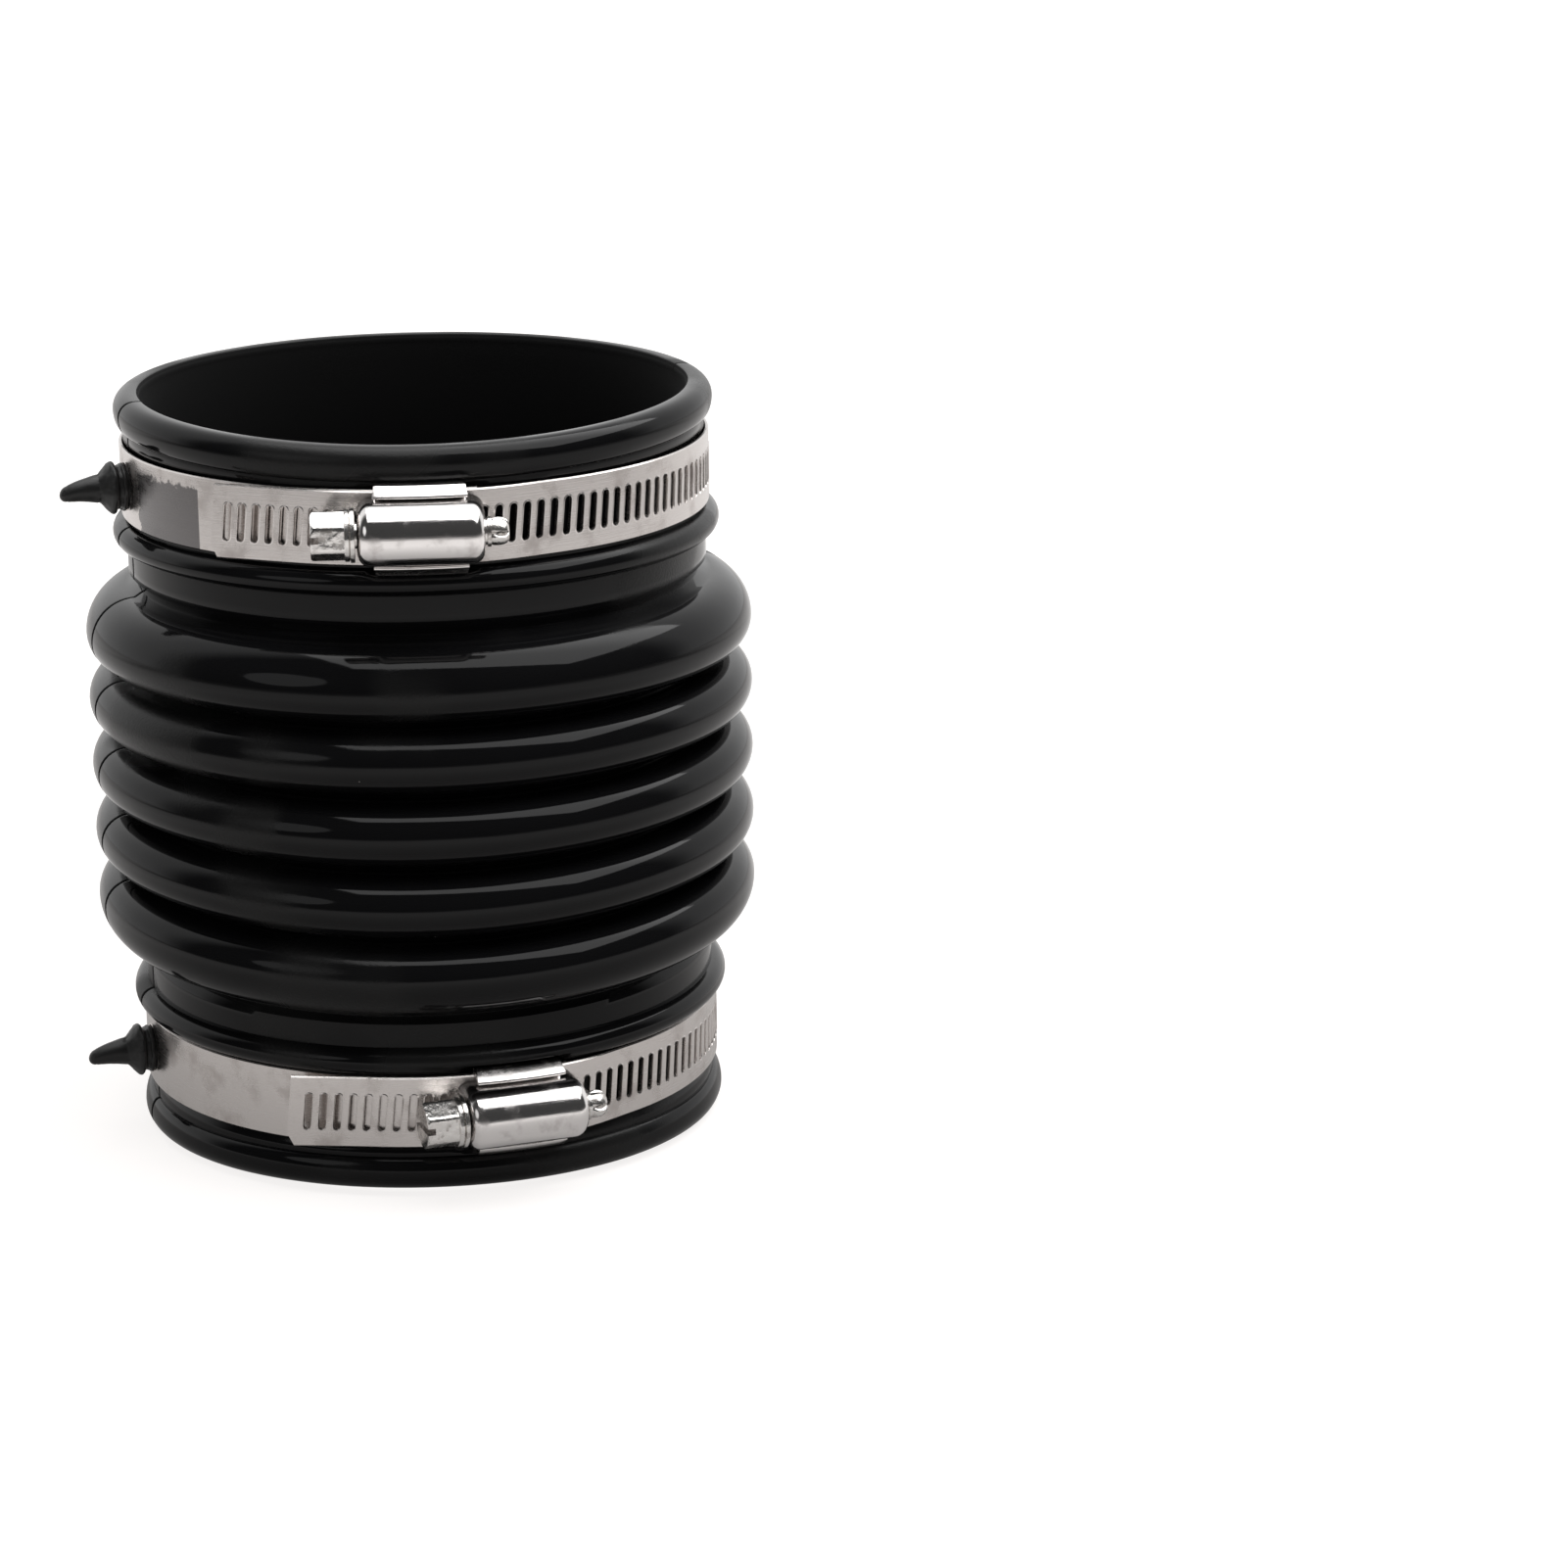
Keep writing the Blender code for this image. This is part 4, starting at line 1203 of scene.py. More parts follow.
@dataclass
class StripCell:
    """Makes the small flat lengths that a band is put together from."""

    width: float = 0.012
    thickness: float = 0.0007
    edge_round: float = 0.00022
    side_steps: int = 6
    cap_points: int = 6

    @property
    def reach(self) -> float:
        """Half the strip's flat width, inside its rounded edges."""
        return self.width / 2 - self.edge_round

    def border(self, half: float) -> list[Point2]:
        """The cell's outline, from its lower right corner round to the left.

        Args:
            half: Half the cell's length along the strip.

        Returns:
            The outline's points.
        """
        levels = [-self.reach + 2 * self.reach * i / self.side_steps for i in range(self.side_steps + 1)]
        across = [half * (1 - 2 * (j + 1) / (self.cap_points + 1)) for j in range(self.cap_points)]
        outline = [(half, y) for y in levels] + [(x, self.reach) for x in across]
        outline += [(-half, y) for y in reversed(levels)] + [(-x, -self.reach) for x in across]
        return outline

    def slot(self, length: float, width: float, slope: float, grow: float) -> list[Point2]:
        """A slanted round-ended slot's outline, grown by an amount.

        Args:
            length: The slot's length across the strip.
            width: The slot's width.
            slope: Its sideways run per unit of height.
            grow: How far outside the opening the outline lies.

        Returns:
            The outline's points, in step with the cell's border.
        """
        half, radius = length / 2 - width / 2, width / 2 + grow
        caps = [math.pi * (j + 1) / (self.cap_points + 1) for j in range(self.cap_points)]
        levels = [half * (2 * i / self.side_steps - 1) for i in range(self.side_steps + 1)]
        outline = [(radius, y) for y in levels]
        outline += [(radius * math.cos(a), half + radius * math.sin(a)) for a in caps]
        outline += [(-radius, y) for y in reversed(levels)]
        outline += [(-radius * math.cos(a), -half - radius * math.sin(a)) for a in caps]
        return [(x + y * slope, y) for x, y in outline]

    def hole(self, radius: float, grow: float) -> list[Point2]:
        """A round hole's outline, in step with the cell's border.

        Args:
            radius: The hole's radius.
            grow: How far outside the opening the outline lies.

        Returns:
            The outline's points.
        """
        quarter = math.pi / 2
        sides = [quarter * (i / self.side_steps - 0.5) for i in range(self.side_steps + 1)]
        caps = [quarter * (0.5 + (j + 1) / (self.cap_points + 1)) for j in range(self.cap_points)]
        half_turn = sides + caps
        angles = half_turn + [angle + math.pi for angle in half_turn]
        return [((radius + grow) * math.cos(a), (radius + grow) * math.sin(a)) for a in angles]

    def pierced(self, name: str, half: float, outline: Callable[[float], list[Point2]]) -> bpy.types.Object:
        """A cell with an opening whose rim stands up a little, as a punch leaves it.

        Args:
            name: The cell's name.
            half: Half its length along the strip.
            outline: Gives the opening's outline, grown by an amount.

        Returns:
            An unseen object for the band's tree.
        """
        top, rise = self.thickness, 0.00007
        levels = [
            (outline(0.0), 0.0), (outline(0.0), top - 0.00010), (outline(0.00005), top + rise * 0.6),
            (outline(0.00011), top + rise), (outline(0.00018), top + rise * 0.6), (outline(0.00024), top),
            (outline(0.00030), top), (self.border(half), top),
        ]
        bm = bmesh.new()
        rings = [[bm.verts.new((x, y, z)) for x, y in ring] for ring, z in levels]
        under = [bm.verts.new((x, y, 0.0)) for x, y in self.border(half)]
        for ring, following in zip(rings, rings[1:]):
            self.skin(bm, ring, following)
        self.skin(bm, under, rings[0])
        self.add_edges(bm, rings[-1], under)
        return self.keep(name, bm)

    def plain(
        self, name: str, left: Callable[[float], float], right: float, capped: bool
    ) -> bpy.types.Object:
        """A cell without an opening.

        Args:
            name: The cell's name.
            left: Where its left border lies at each height.
            right: Where its right border lies.
            capped: Whether the left border is a closed end.

        Returns:
            An unseen object for the band's tree.
        """
        levels = [-self.reach + 2 * self.reach * i / self.side_steps for i in range(self.side_steps + 1)]
        bm = bmesh.new()
        columns = []
        for z in (self.thickness, 0.0):
            for place in (left, lambda y: right):
                columns.append([bm.verts.new((place(y), y, z)) for y in levels])
        for low, high in ((columns[0], columns[1]), (columns[2], columns[3])):
            for i in range(self.side_steps):
                bm.faces.new((low[i], high[i], high[i + 1], low[i + 1]))
        for i, sign in ((-1, 1), (0, -1)):
            chain = [[columns[c][i] for c in (0, 1)]]
            for z in (self.thickness - self.edge_round, self.edge_round):
                y = sign * self.width / 2
                chain.append([bm.verts.new((left(sign * self.reach), y, z)), bm.verts.new((right, y, z))])
            chain.append([columns[c][i] for c in (2, 3)])
            for above, below in zip(chain, chain[1:]):
                bm.faces.new((above[0], above[1], below[1], below[0]))
            if capped:
                bm.faces.new([pair[0] for pair in chain])
        if capped:
            self.cap_end(bm, columns)
        return self.keep(name, bm)

    def cap_end(self, bm: bmesh.types.BMesh, columns: list) -> None:
        """Closes the flat share of a free end."""
        for i in range(self.side_steps):
            bm.faces.new((columns[0][i], columns[0][i + 1], columns[2][i + 1], columns[2][i]))

    def skin(self, bm: bmesh.types.BMesh, ring: list, following: list) -> None:
        """Joins two rings of a cell with quads.

        Args:
            bm: The mesh in hand.
            ring: The first ring.
            following: The ring that it is joined to.
        """
        for i in range(len(ring)):
            j = (i + 1) % len(ring)
            bm.faces.new((ring[i], ring[j], following[j], following[i]))

    def add_edges(self, bm: bmesh.types.BMesh, above: list, below: list) -> None:
        """Closes a pierced cell along the strip's two rounded edges.

        Args:
            bm: The mesh in hand.
            above: The ring of points on the strip's face.
            below: The ring of points on its underside.
        """
        count = len(above)
        first = self.side_steps
        runs = ((list(range(first, first + self.cap_points + 2)), 1), (self.lower_run(count), -1))
        for run, sign in runs:
            rows = [[above[i] for i in run]]
            for z in (self.thickness - self.edge_round, self.edge_round):
                rows.append([bm.verts.new((above[i].co.x, sign * self.width / 2, z)) for i in run])
            rows.append([below[i] for i in run])
            for row, following in zip(rows, rows[1:]):
                for a in range(len(run) - 1):
                    bm.faces.new((row[a], row[a + 1], following[a + 1], following[a]))

    def lower_run(self, count: int) -> list[int]:
        """Places in the border's list along the strip's lower edge."""
        start = 2 * self.side_steps + self.cap_points + 1
        return [(start + i) % count for i in range(self.cap_points + 2)]

    @staticmethod
    def keep(name: str, bm: bmesh.types.BMesh) -> bpy.types.Object:
        """Stores a cell for the band's tree.

        Args:
            name: Its name.
            bm: The mesh in hand.

        Returns:
            The unseen object that holds it.
        """
        mesh = bpy.data.meshes.new(name)
        bm.to_mesh(mesh)
        bm.free()
        return store(name, mesh)


@dataclass
class ClampBand:
    """The perforated strip, rolled round the cuff with its tail drawn out over its plain end."""

    seat: ClampSeat
    nib_azimuth: float
    cell: StripCell = field(default_factory=StripCell)
    first_layer: float = 0.0482
    second_layer: float = 0.0492
    slot_pitch: float = 0.00245
    slot_length: float = 0.0061
    slot_width: float = 0.0012
    slots_past_worm: int = 31
    plain_end: float = 0.009
    layer_gap: float = 0.0003
    ramp_length: float = 0.013
    tail_leaves_at: float = 0.022
    tail_corner: float = 0.0012
    hole_radius: float = 0.0039
    thread_radius: float = 0.003825
    path_step: float = 0.0005
    path_reach: float = 0.34
    merge_distance: float = 5e-6

    @property
    def slope(self) -> float:
        """Sideways run of the slots per unit of height."""
        return self.slot_pitch / (FULL_TURN * self.thread_radius)

    def radius_at(self, along: float) -> float:
        """Radius of the strip's middle thickness, from its length past the worm's middle."""
        drop = ease((along - self.plain_end - self.layer_gap) / self.ramp_length)
        return self.second_layer + (self.first_layer - self.second_layer) * drop + self.cell.thickness / 2

    def path(self, start: float, end: float) -> tuple[list[Vector], Callable[[float], float]]:
        """The strip's route round the hose.

        Args:
            start: Where it begins, as a length past the worm's middle.
            end: Where it ends.

        Returns:
            The route's points, and a function that gives the length at which an azimuth is met.
        """
        angles = {0: 0.0}
        steps_on = math.ceil(end / self.path_step)
        for i in range(steps_on):
            angles[i + 1] = angles[i] + self.path_step / self.radius_at((i + 0.5) * self.path_step)
        steps_back = math.ceil(-start / self.path_step)
        for i in range(steps_back):
            angles[-i - 1] = angles[-i] - self.path_step / self.radius_at(0.0)
        points = []
        for i in range(-steps_back, steps_on + 1):
            held = max(i, -round(self.tail_leaves_at / self.path_step))
            angle, radius = angles[held], self.radius_at(held * self.path_step)
            straight = (i - held) * self.path_step
            tangent = Vector((-math.sin(angle), math.cos(angle), 0))
            points.append(Vector((math.cos(angle), math.sin(angle), 0)) * radius + tangent * straight)

        def length_at(azimuth: float) -> float:
            """Length past the worm's middle at an azimuth.

            Args:
                azimuth: The azimuth that is met.

            Returns:
                The length.
            """
            after = next(i for i in range(steps_on + 1) if angles[i] >= azimuth)
            over = (angles[after] - azimuth) * self.radius_at(after * self.path_step)
            return after * self.path_step - over

        return points, length_at

    def hole_at(self) -> float:
        """Length past the worm's middle at which the strip meets the nib."""
        length_at = self.path(0.0, self.path_reach)[1]
        return length_at((self.nib_azimuth - self.seat.azimuth) % FULL_TURN)

    def mesh(self, steel: bpy.types.Material) -> bpy.types.Mesh:
        """Lays the strip out flat from its cells and bends it along its route.

        Args:
            steel: The steel's material.

        Returns:
            The bent strip's mesh.
        """
        pitch, tail = self.slot_pitch, self.seat.tail_length
        tail_slots = int((tail - pitch) / pitch)
        first_border = -(tail_slots + 0.5) * pitch
        last_border = (self.slots_past_worm + 0.5) * pitch
        slots = tail_slots + self.slots_past_worm + 1
        start = -tail - 4 * self.path_step
        route, length_at = self.path(start, self.path_reach)
        hole_at = self.hole_at()
        free_end = length_at(FULL_TURN + self.plain_end / self.first_layer)
        hole_half = 2 * pitch
        name = self.seat.ending.value
        lean = self.slope

        def tail_border(y: float) -> float:
            """The slanted tail end, with its lower corner cut."""
            cut = self.tail_corner if y <= -self.cell.reach else 0.0
            return -tail + y * lean + cut

        slot = self.cell.pierced(
            name + "_slot_cell", pitch / 2,
            lambda grow: self.cell.slot(self.slot_length, self.slot_width, lean, grow),
        )
        hole = self.cell.pierced(
            name + "_nib_cell", hole_half,
            lambda grow: self.cell.hole(self.hole_radius, grow),
        )
        plain = self.cell.plain(name + "_plain_cell", lambda y: 0.0, 1.0, False)
        tail_end = self.cell.plain(name + "_tail_end", tail_border, first_border, True)
        rear_end = self.cell.plain(name + "_rear_end", lambda y: 0.0, 1.0, True)
        path = store(name + "_route", line_mesh(name + "_route", route))

        tree = GeometryTree(name.title() + " Punched Band")
        parts = [
            self.row(tree, "Slot", slot, first_border + pitch / 2, pitch, slots, 1.0),
            self.row(tree, "Nib Hole", hole, hole_at, pitch, 1, 1.0),
            self.row(tree, "Tail End", tail_end, 0.0, pitch, 1, 1.0),
        ]
        before, after = (last_border, hole_at - hole_half), (hole_at + hole_half, free_end - pitch)
        for label, (low, high) in (("Plain", before), ("Rear", after)):
            count = math.ceil((high - low) / pitch)
            step = (high - low) / count
            parts.append(self.row(tree, label, plain, low, step, count, step))
        parts.append(self.row(tree, "Rear End", rear_end, free_end, pitch, 1, -pitch))
        joined = tree.node("GeometryNodeJoinGeometry")
        for part in parts:
            tree.tree.links.new(part, joined.inputs[0])
        self.bend(tree, joined.outputs[0], path, -route_start(start, self.path_step), steel)
        mesh = tree.grow(name + "_band", bpy.data.meshes.new(name + "_band_seed"))
        for thing in (slot, hole, plain, tail_end, rear_end, path):
            bpy.data.objects.remove(thing, do_unlink=True)
        return mesh

    @staticmethod
    def row(
        tree: GeometryTree,
        label: str,
        cell: bpy.types.Object,
        first: float,
        step: float,
        count: int,
        stretch: float,
    ) -> bpy.types.NodeSocket:
        """Repeats a cell along the flat strip.

        Args:
            tree: The band's tree.
            label: The inputs' first word.
            cell: The object that is repeated.
            first: Place of the first copy.
            step: Distance between copies.
            count: How many copies there are.
            stretch: Each copy's scale along the strip.

        Returns:
            The copies.
        """
        source = tree.input(label + " Cell", "Object", cell)
        amount = tree.input(label + " Count", "Int", count)
        begin = tree.input(label + " Start", "Float", first)
        pitch = tree.input(label + " Pitch", "Float", step)
        length = tree.input(label + " Stretch", "Float", stretch)
        first_place, next_place = tree.combine(begin, 0.0, 0.0), tree.combine(pitch, 0.0, 0.0)
        inputs = {"Count": amount, "Start Location": first_place, "Offset": next_place}
        line = tree.node("GeometryNodeMeshLine", {"mode": "OFFSET"}, inputs).outputs[0]
        shape = tree.node("GeometryNodeObjectInfo", None, {"Object": source}).outputs["Geometry"]
        inputs = {"Points": line, "Instance": shape, "Scale": tree.combine(length, 1.0, 1.0)}
        return tree.node("GeometryNodeInstanceOnPoints", None, inputs).outputs[0]

    def bend(
        self, tree: GeometryTree, flat: Any, path: bpy.types.Object, offset: float, steel: bpy.types.Material
    ) -> None:
        """Bends the flat strip along its route and ends the tree.

        Args:
            tree: The band's tree.
            flat: The flat strip's geometry.
            path: The object that holds the route.
            offset: Length along the route at which the strip's zero lies.
            steel: The steel's material.
        """
        real = tree.node("GeometryNodeRealizeInstances", None, {0: flat}).outputs[0]
        inputs = {"Geometry": real, "Distance": self.merge_distance}
        real = tree.node("GeometryNodeMergeByDistance", None, inputs).outputs[0]
        here = tree.node("GeometryNodeInputPosition").outputs[0]
        named = {"data_type": "FLOAT_VECTOR", "domain": "POINT"}
        inputs = {"Geometry": real, "Name": "strip", "Value": here}
        stored = tree.node("GeometryNodeStoreNamedAttribute", named, inputs)
        along, height, out = tree.separate(here)
        route = tree.node("GeometryNodeObjectInfo", None, {"Object": tree.input("Route", "Object", path)})
        curve = tree.node("GeometryNodeMeshToCurve", None, {0: route.outputs["Geometry"]}).outputs[0]
        sample = tree.node("GeometryNodeSampleCurve", {"mode": "LENGTH", "use_all_curves": True})
        tree.feed(sample.inputs["Curves"], curve)
        tree.feed(sample.inputs["Length"], tree.maths("ADD", along, tree.input("Offset", "Float", offset)))
        outwards = tree.vector("CROSS_PRODUCT", sample.outputs["Tangent"], (0.0, 0.0, 1.0))
        rise = tree.maths("SUBTRACT", out, self.cell.thickness / 2)
        place = tree.vector("ADD", sample.outputs["Position"], scaled(tree, outwards, rise))
        place = tree.vector("ADD", place, tree.combine(0.0, 0.0, height))
        tree.finish(set_position(tree, stored.outputs[0], place), steel)

    def build(self, steel: bpy.types.Material) -> bpy.types.Object:
        """Makes the band in its place.

        Args:
            steel: The steel's material.

        Returns:
            The band.
        """
        band = piece(self.seat.named("strip"), self.mesh(steel), self.seat.place, 40)
        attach(band, self.seat.body)
        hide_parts(self.seat.named("band"))
        return band


def route_start(start: float, step: float) -> float:
    """Where a route's first point lies, rounded to whole steps."""
    return -math.ceil(-start / step) * step


@dataclass
class WormHousing:
    """The pressed barrel over the worm, its feet and the saddle folded over them."""

    seat: ClampSeat
    length: float = 0.020
    barrel_radius: float = 0.0050
    sheet: float = 0.00065
    corner_round: float = 0.0021
    underside: float = 0.0502
    foot_length: float = 0.0135
    foot_sheet: float = 0.0007
    foot_reach: float = 0.0064
    fillet: float = 0.0014
    bearing_radius: float = 0.0024
    saddle_sheet: float = 0.0006
    saddle_inner: float = 0.0473
    saddle_lip: float = 0.0020
    saddle_half_width: float = 0.0072
    lip_tilt: float = math.radians(53)
    saddle_gap: float = 0.0003
    cuff_radius: float = 0.0479
    arch_steps: int = 28

    def arch(self, inset: float) -> list[Point2]:
        """The barrel's section at an inset: straight sides under a round top.

        Args:
            inset: How far inside the barrel's skin the section lies.

        Returns:
            The points, each as (radius, height).
        """
        radius = self.barrel_radius - inset
        foot = self.underside - 0.0012
        top = arc((self.seat.screw_radius, 0.0), (radius, radius), -90, 90, self.arch_steps)
        return [(foot, -radius)] + top + [(foot, radius)]

    def block(self, stations: Sequence[Point2]) -> bpy.types.Mesh:
        """A block skinned through arches, each given as (place along the screw, inset)."""
        return loft([[(x, along, z) for x, z in self.arch(inset)] for along, inset in stations])

    def barrel(self) -> bpy.types.Mesh:
        """The barrel with rolled-in ends.

        Returns:
            The barrel's mesh, still solid.
        """
        half, turn, steps = self.length / 2, self.corner_round, 7
        end = []
        for i in range(steps + 1):
            angle = math.pi / 2 * i / steps
            end.append((half - turn + turn * math.cos(angle), turn * (1 - math.sin(angle))))
        stations = [(-along, inset) for along, inset in end] + list(reversed(end))
        return self.block(stations)

    def sweep(self, section: Sequence[Point2], half_length: float, steps: int) -> bpy.types.Mesh:
        """Sweeps a section of (radius, height) points round the hose.

        Args:
            section: The section's points, each as (radius, height).
            half_length: Half the swept length at the cuff's radius.
            steps: How many steps the sweep has.

        Returns:
            The swept mesh.
        """
        half = half_length / self.cuff_radius
        rings = []
        for i in range(steps + 1):
            angle = half * (2 * i / steps - 1)
            rings.append([(r * math.cos(angle), r * math.sin(angle), z) for r, z in section])
        return loft(rings)

    def foot(self, side: int) -> bpy.types.Mesh:
        """A foot that flares out of the barrel's side to the band's edge.

        Args:
            side: 1 for the upper foot and -1 for the lower one.

        Returns:
            The foot's mesh.
        """
        wall = self.barrel_radius - self.sheet / 2
        top = self.underside + self.foot_sheet
        fillet = arc((top + self.fillet, self.barrel_radius + self.fillet), (self.fillet,) * 2, 180, 270, 5)
        section = [(self.underside - 0.0004, wall), (self.underside - 0.0004, self.foot_reach)]
        section += [(top, self.foot_reach)] + fillet + [(top + self.fillet, wall)]
        return self.sweep([(r, side * z) for r, z in section], self.foot_length / 2, 16)

    def housing(self, steel: bpy.types.Material) -> bpy.types.Object:
        """The housing, hollow for the worm and trimmed to the band's curve.

        Args:
            steel: The steel's material.

        Returns:
            The housing.
        """
        inside = self.length / 2 - self.sheet
        cavity = self.block([(-inside, self.sheet), (inside, self.sheet)])
        hole = arc((self.seat.screw_radius, 0.0), (self.bearing_radius,) * 2, 0, 360, 32)[:-1]
        bearing = loft([[(x, along, z) for x, z in hole] for along in (-self.length, self.length)])
        low, high = self.cuff_radius / 2, self.underside
        under = [(low, -0.012), (high, -0.012), (high, 0.012), (low, 0.012)]
        trim = self.sweep(under, self.length, 40)
        steps = [(cavity, "DIFFERENCE"), (self.foot(-1), "UNION"), (self.foot(1), "UNION")]
        steps += [(bearing, "DIFFERENCE"), (trim, "DIFFERENCE")]
        mesh = boolean(self.barrel(), steps)
        thing = piece(self.seat.named("barrel"), mesh, self.seat.place, 32, steel)
        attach(thing, self.seat.body)
        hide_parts(self.seat.named("housing"))
        return thing

    def saddle_half(self) -> list[Point2]:
        """Half of the saddle's folded section, from its middle out over the foot and back.

        Returns:
            The points, each as (radius, height).
        """
        sheet, wide = self.saddle_sheet, self.saddle_half_width
        base, bend = self.saddle_inner, 0.00055
        across = Vector((math.cos(self.lip_tilt), math.sin(self.lip_tilt)))
        down = Vector((math.sin(self.lip_tilt), -math.cos(self.lip_tilt))) * self.saddle_lip
        fold = Vector((self.underside + self.foot_sheet + self.saddle_gap, wide - bend))
        tip, tilt = fold + across * (bend - sheet / 2) + down, math.degrees(self.lip_tilt)
        half = arc((base + bend, wide - bend), (bend, bend), 180, 90, 5)
        half += arc(tuple(fold), (bend, bend), 90, tilt, 4)
        half += arc(tuple(tip), (sheet / 2, sheet / 2), tilt, tilt - 180, 6)
        half += [tuple(fold + across * (bend - sheet)), (base + sheet, wide - sheet)]
        return half

    def saddle(self, steel: bpy.types.Material) -> bpy.types.Object:
        """The saddle plate under the band.

        Args:
            steel: The steel's material.

        Returns:
            The saddle.
        """
        half = self.saddle_half()
        section = half + [(radius, -height) for radius, height in reversed(half)]
        bm = bmesh.new()
        mesh = self.sweep(section, self.foot_length / 2, 14)
        bm.from_mesh(mesh)
        ends = [edge for edge in bm.edges if len(edge.link_faces) == 2 and edge.calc_face_angle() > 1.2]
        rounded = [edge for edge in ends if any(len(face.verts) > 4 for face in edge.link_faces)]
        bmesh.ops.bevel(bm, geom=rounded, offset=0.00012, segments=2, profile=0.5, affect="EDGES")
        bm.to_mesh(mesh)
        bm.free()
        thing = piece(self.seat.named("saddle_plate"), mesh, self.seat.place, 40, steel)
        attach(thing, self.seat.body)
        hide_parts(self.seat.named("saddle"))
        return thing


@dataclass
class WormScrew:
    """The worm screw: hexagon, flanges, thread and a nose peened into a cross."""

    seat: ClampSeat
    columns: int = 72
    pitch: float = 0.00245
    worm_length: float = 0.012
    tip_radius: float = 0.00405
    root_radius: float = 0.0031
    crest: float = 0.00045
    flank: float = math.radians(15)
    journal: float = 0.0021
    housing_length: float = 0.020
    running_gap: float = 0.0003
    flange_radius: float = 0.0043
    flange_length: float = 0.0016
    across_flats: float = 0.0070
    hex_length: float = 0.0053
    chamfer: float = 0.0006
    slot_width: float = 0.0011
    slot_depth: float = 0.0013
    nose_radius: float = 0.0024
    ring_length: float = 0.0018
    cone_length: float = 0.0017

    def direction(self, column: int) -> Vector:
        """Direction of a column across the screw, right-handed about +Y from +Z."""
        angle = FULL_TURN * column / self.columns
        return Vector((math.sin(angle), 0, math.cos(angle)))

    def worm(self, bm: bmesh.types.BMesh) -> None:
        """Skins the thread; past the last column a row goes on as the row one turn up.

        Args:
            bm: The mesh in hand.
        """
        base = self.crest / 2 + (self.tip_radius - self.root_radius) * math.tan(self.flank)
        soft = 0.00006
        tip, edge = self.tip_radius, self.crest / 2
        shape = [(-base, self.root_radius), (-edge - soft, tip - soft), (-edge + soft, tip)]
        shape += [(-x, radius) for x, radius in reversed(shape)]
        turns = math.ceil(self.worm_length / 2 / self.pitch) + 2
        grid = []
        for turn in range(-turns, turns + 1):
            for offset, radius in shape:
                grid.append([self.thread_point(bm, turn, j, offset, radius) for j in range(self.columns)])
        last = len(grid) - 1
        for i in range(last):
            for j in range(self.columns):
                wraps = j + 1 == self.columns
                k = 0 if wraps else j + 1
                here = min(i + len(shape), last) if wraps else i
                corners = [grid[i][j], grid[here][k], grid[min(here + 1, last)][k], grid[i + 1][j]]
                if len(set(corners)) == 4:
                    bm.faces.new(corners)

    def thread_point(
        self, bm: bmesh.types.BMesh, turn: int, column: int, offset: float, radius: float
    ) -> bmesh.types.BMVert:
        """One thread point; the crest faces the hose a quarter turn before the first column.

        Args:
            bm: The mesh in hand.
            turn: Which turn of the thread the point is on.
            column: The point's column round the screw.
            offset: Place of the point across the thread's profile.
            radius: Its distance from the screw's axis.

        Returns:
            The point.
        """
        along = self.pitch * (turn + column / self.columns + 0.25) + offset
        end = self.worm_length / 2
        if not -end < along < end:
            along, radius = min(max(along, -end), end), self.root_radius
        return bm.verts.new(self.direction(column) * radius + Vector((0, along, 0)))

    def rings(self, bm: bmesh.types.BMesh, stations: Sequence[Station]) -> None:
        """Skins rings of (along, radius of a column) and caps the last one.

        Args:
            bm: The mesh in hand.
            stations: Pairs of a place along the screw and what the ring is there.
        """
        grid = []
        for along, radius in stations:
            places = [self.direction(j) * radius(j) + Vector((0, along, 0)) for j in range(self.columns)]
            grid.append([bm.verts.new(place) for place in places])
        for ring, following in zip(grid, grid[1:]):
            for j in range(self.columns):
                k = (j + 1) % self.columns
                bm.faces.new((ring[j], ring[k], following[k], following[j]))
        bm.faces.new(grid[-1])

    def round(self, radius: float) -> Callable[[int], float]:
        """A round ring's radius."""
        return lambda column: radius

    def hexagon(self, limit: float) -> Callable[[int], float]:
        """A hexagon's radius at each column, with its corners kept inside a limit.

        Args:
            limit: The radius that the corners are kept inside.

        Returns:
            A function that gives the radius at a column.
        """
        def radius(column: int) -> float:
            """Radius at one column."""
            off_flat = math.radians((360 * column / self.columns) % 60 - 30)
            return min(self.across_flats / 2 / math.cos(off_flat), limit)
        return radius

    def cross(self, radius: float, depth: float) -> Callable[[int], float]:
        """A round ring's radius with four notches, as a cross punch leaves it.

        Args:
            radius: The ring's radius between the notches.
            depth: Each notch's depth as a share of the radius.

        Returns:
            A function that gives the radius at a column.
        """
        def notched(column: int) -> float:
            """Radius at one column."""
            off = abs((4 * column / self.columns + 0.5) % 1.0 - 0.5) * 2
            return radius * (1 - depth * ease(1 - off / 0.34))
        return notched

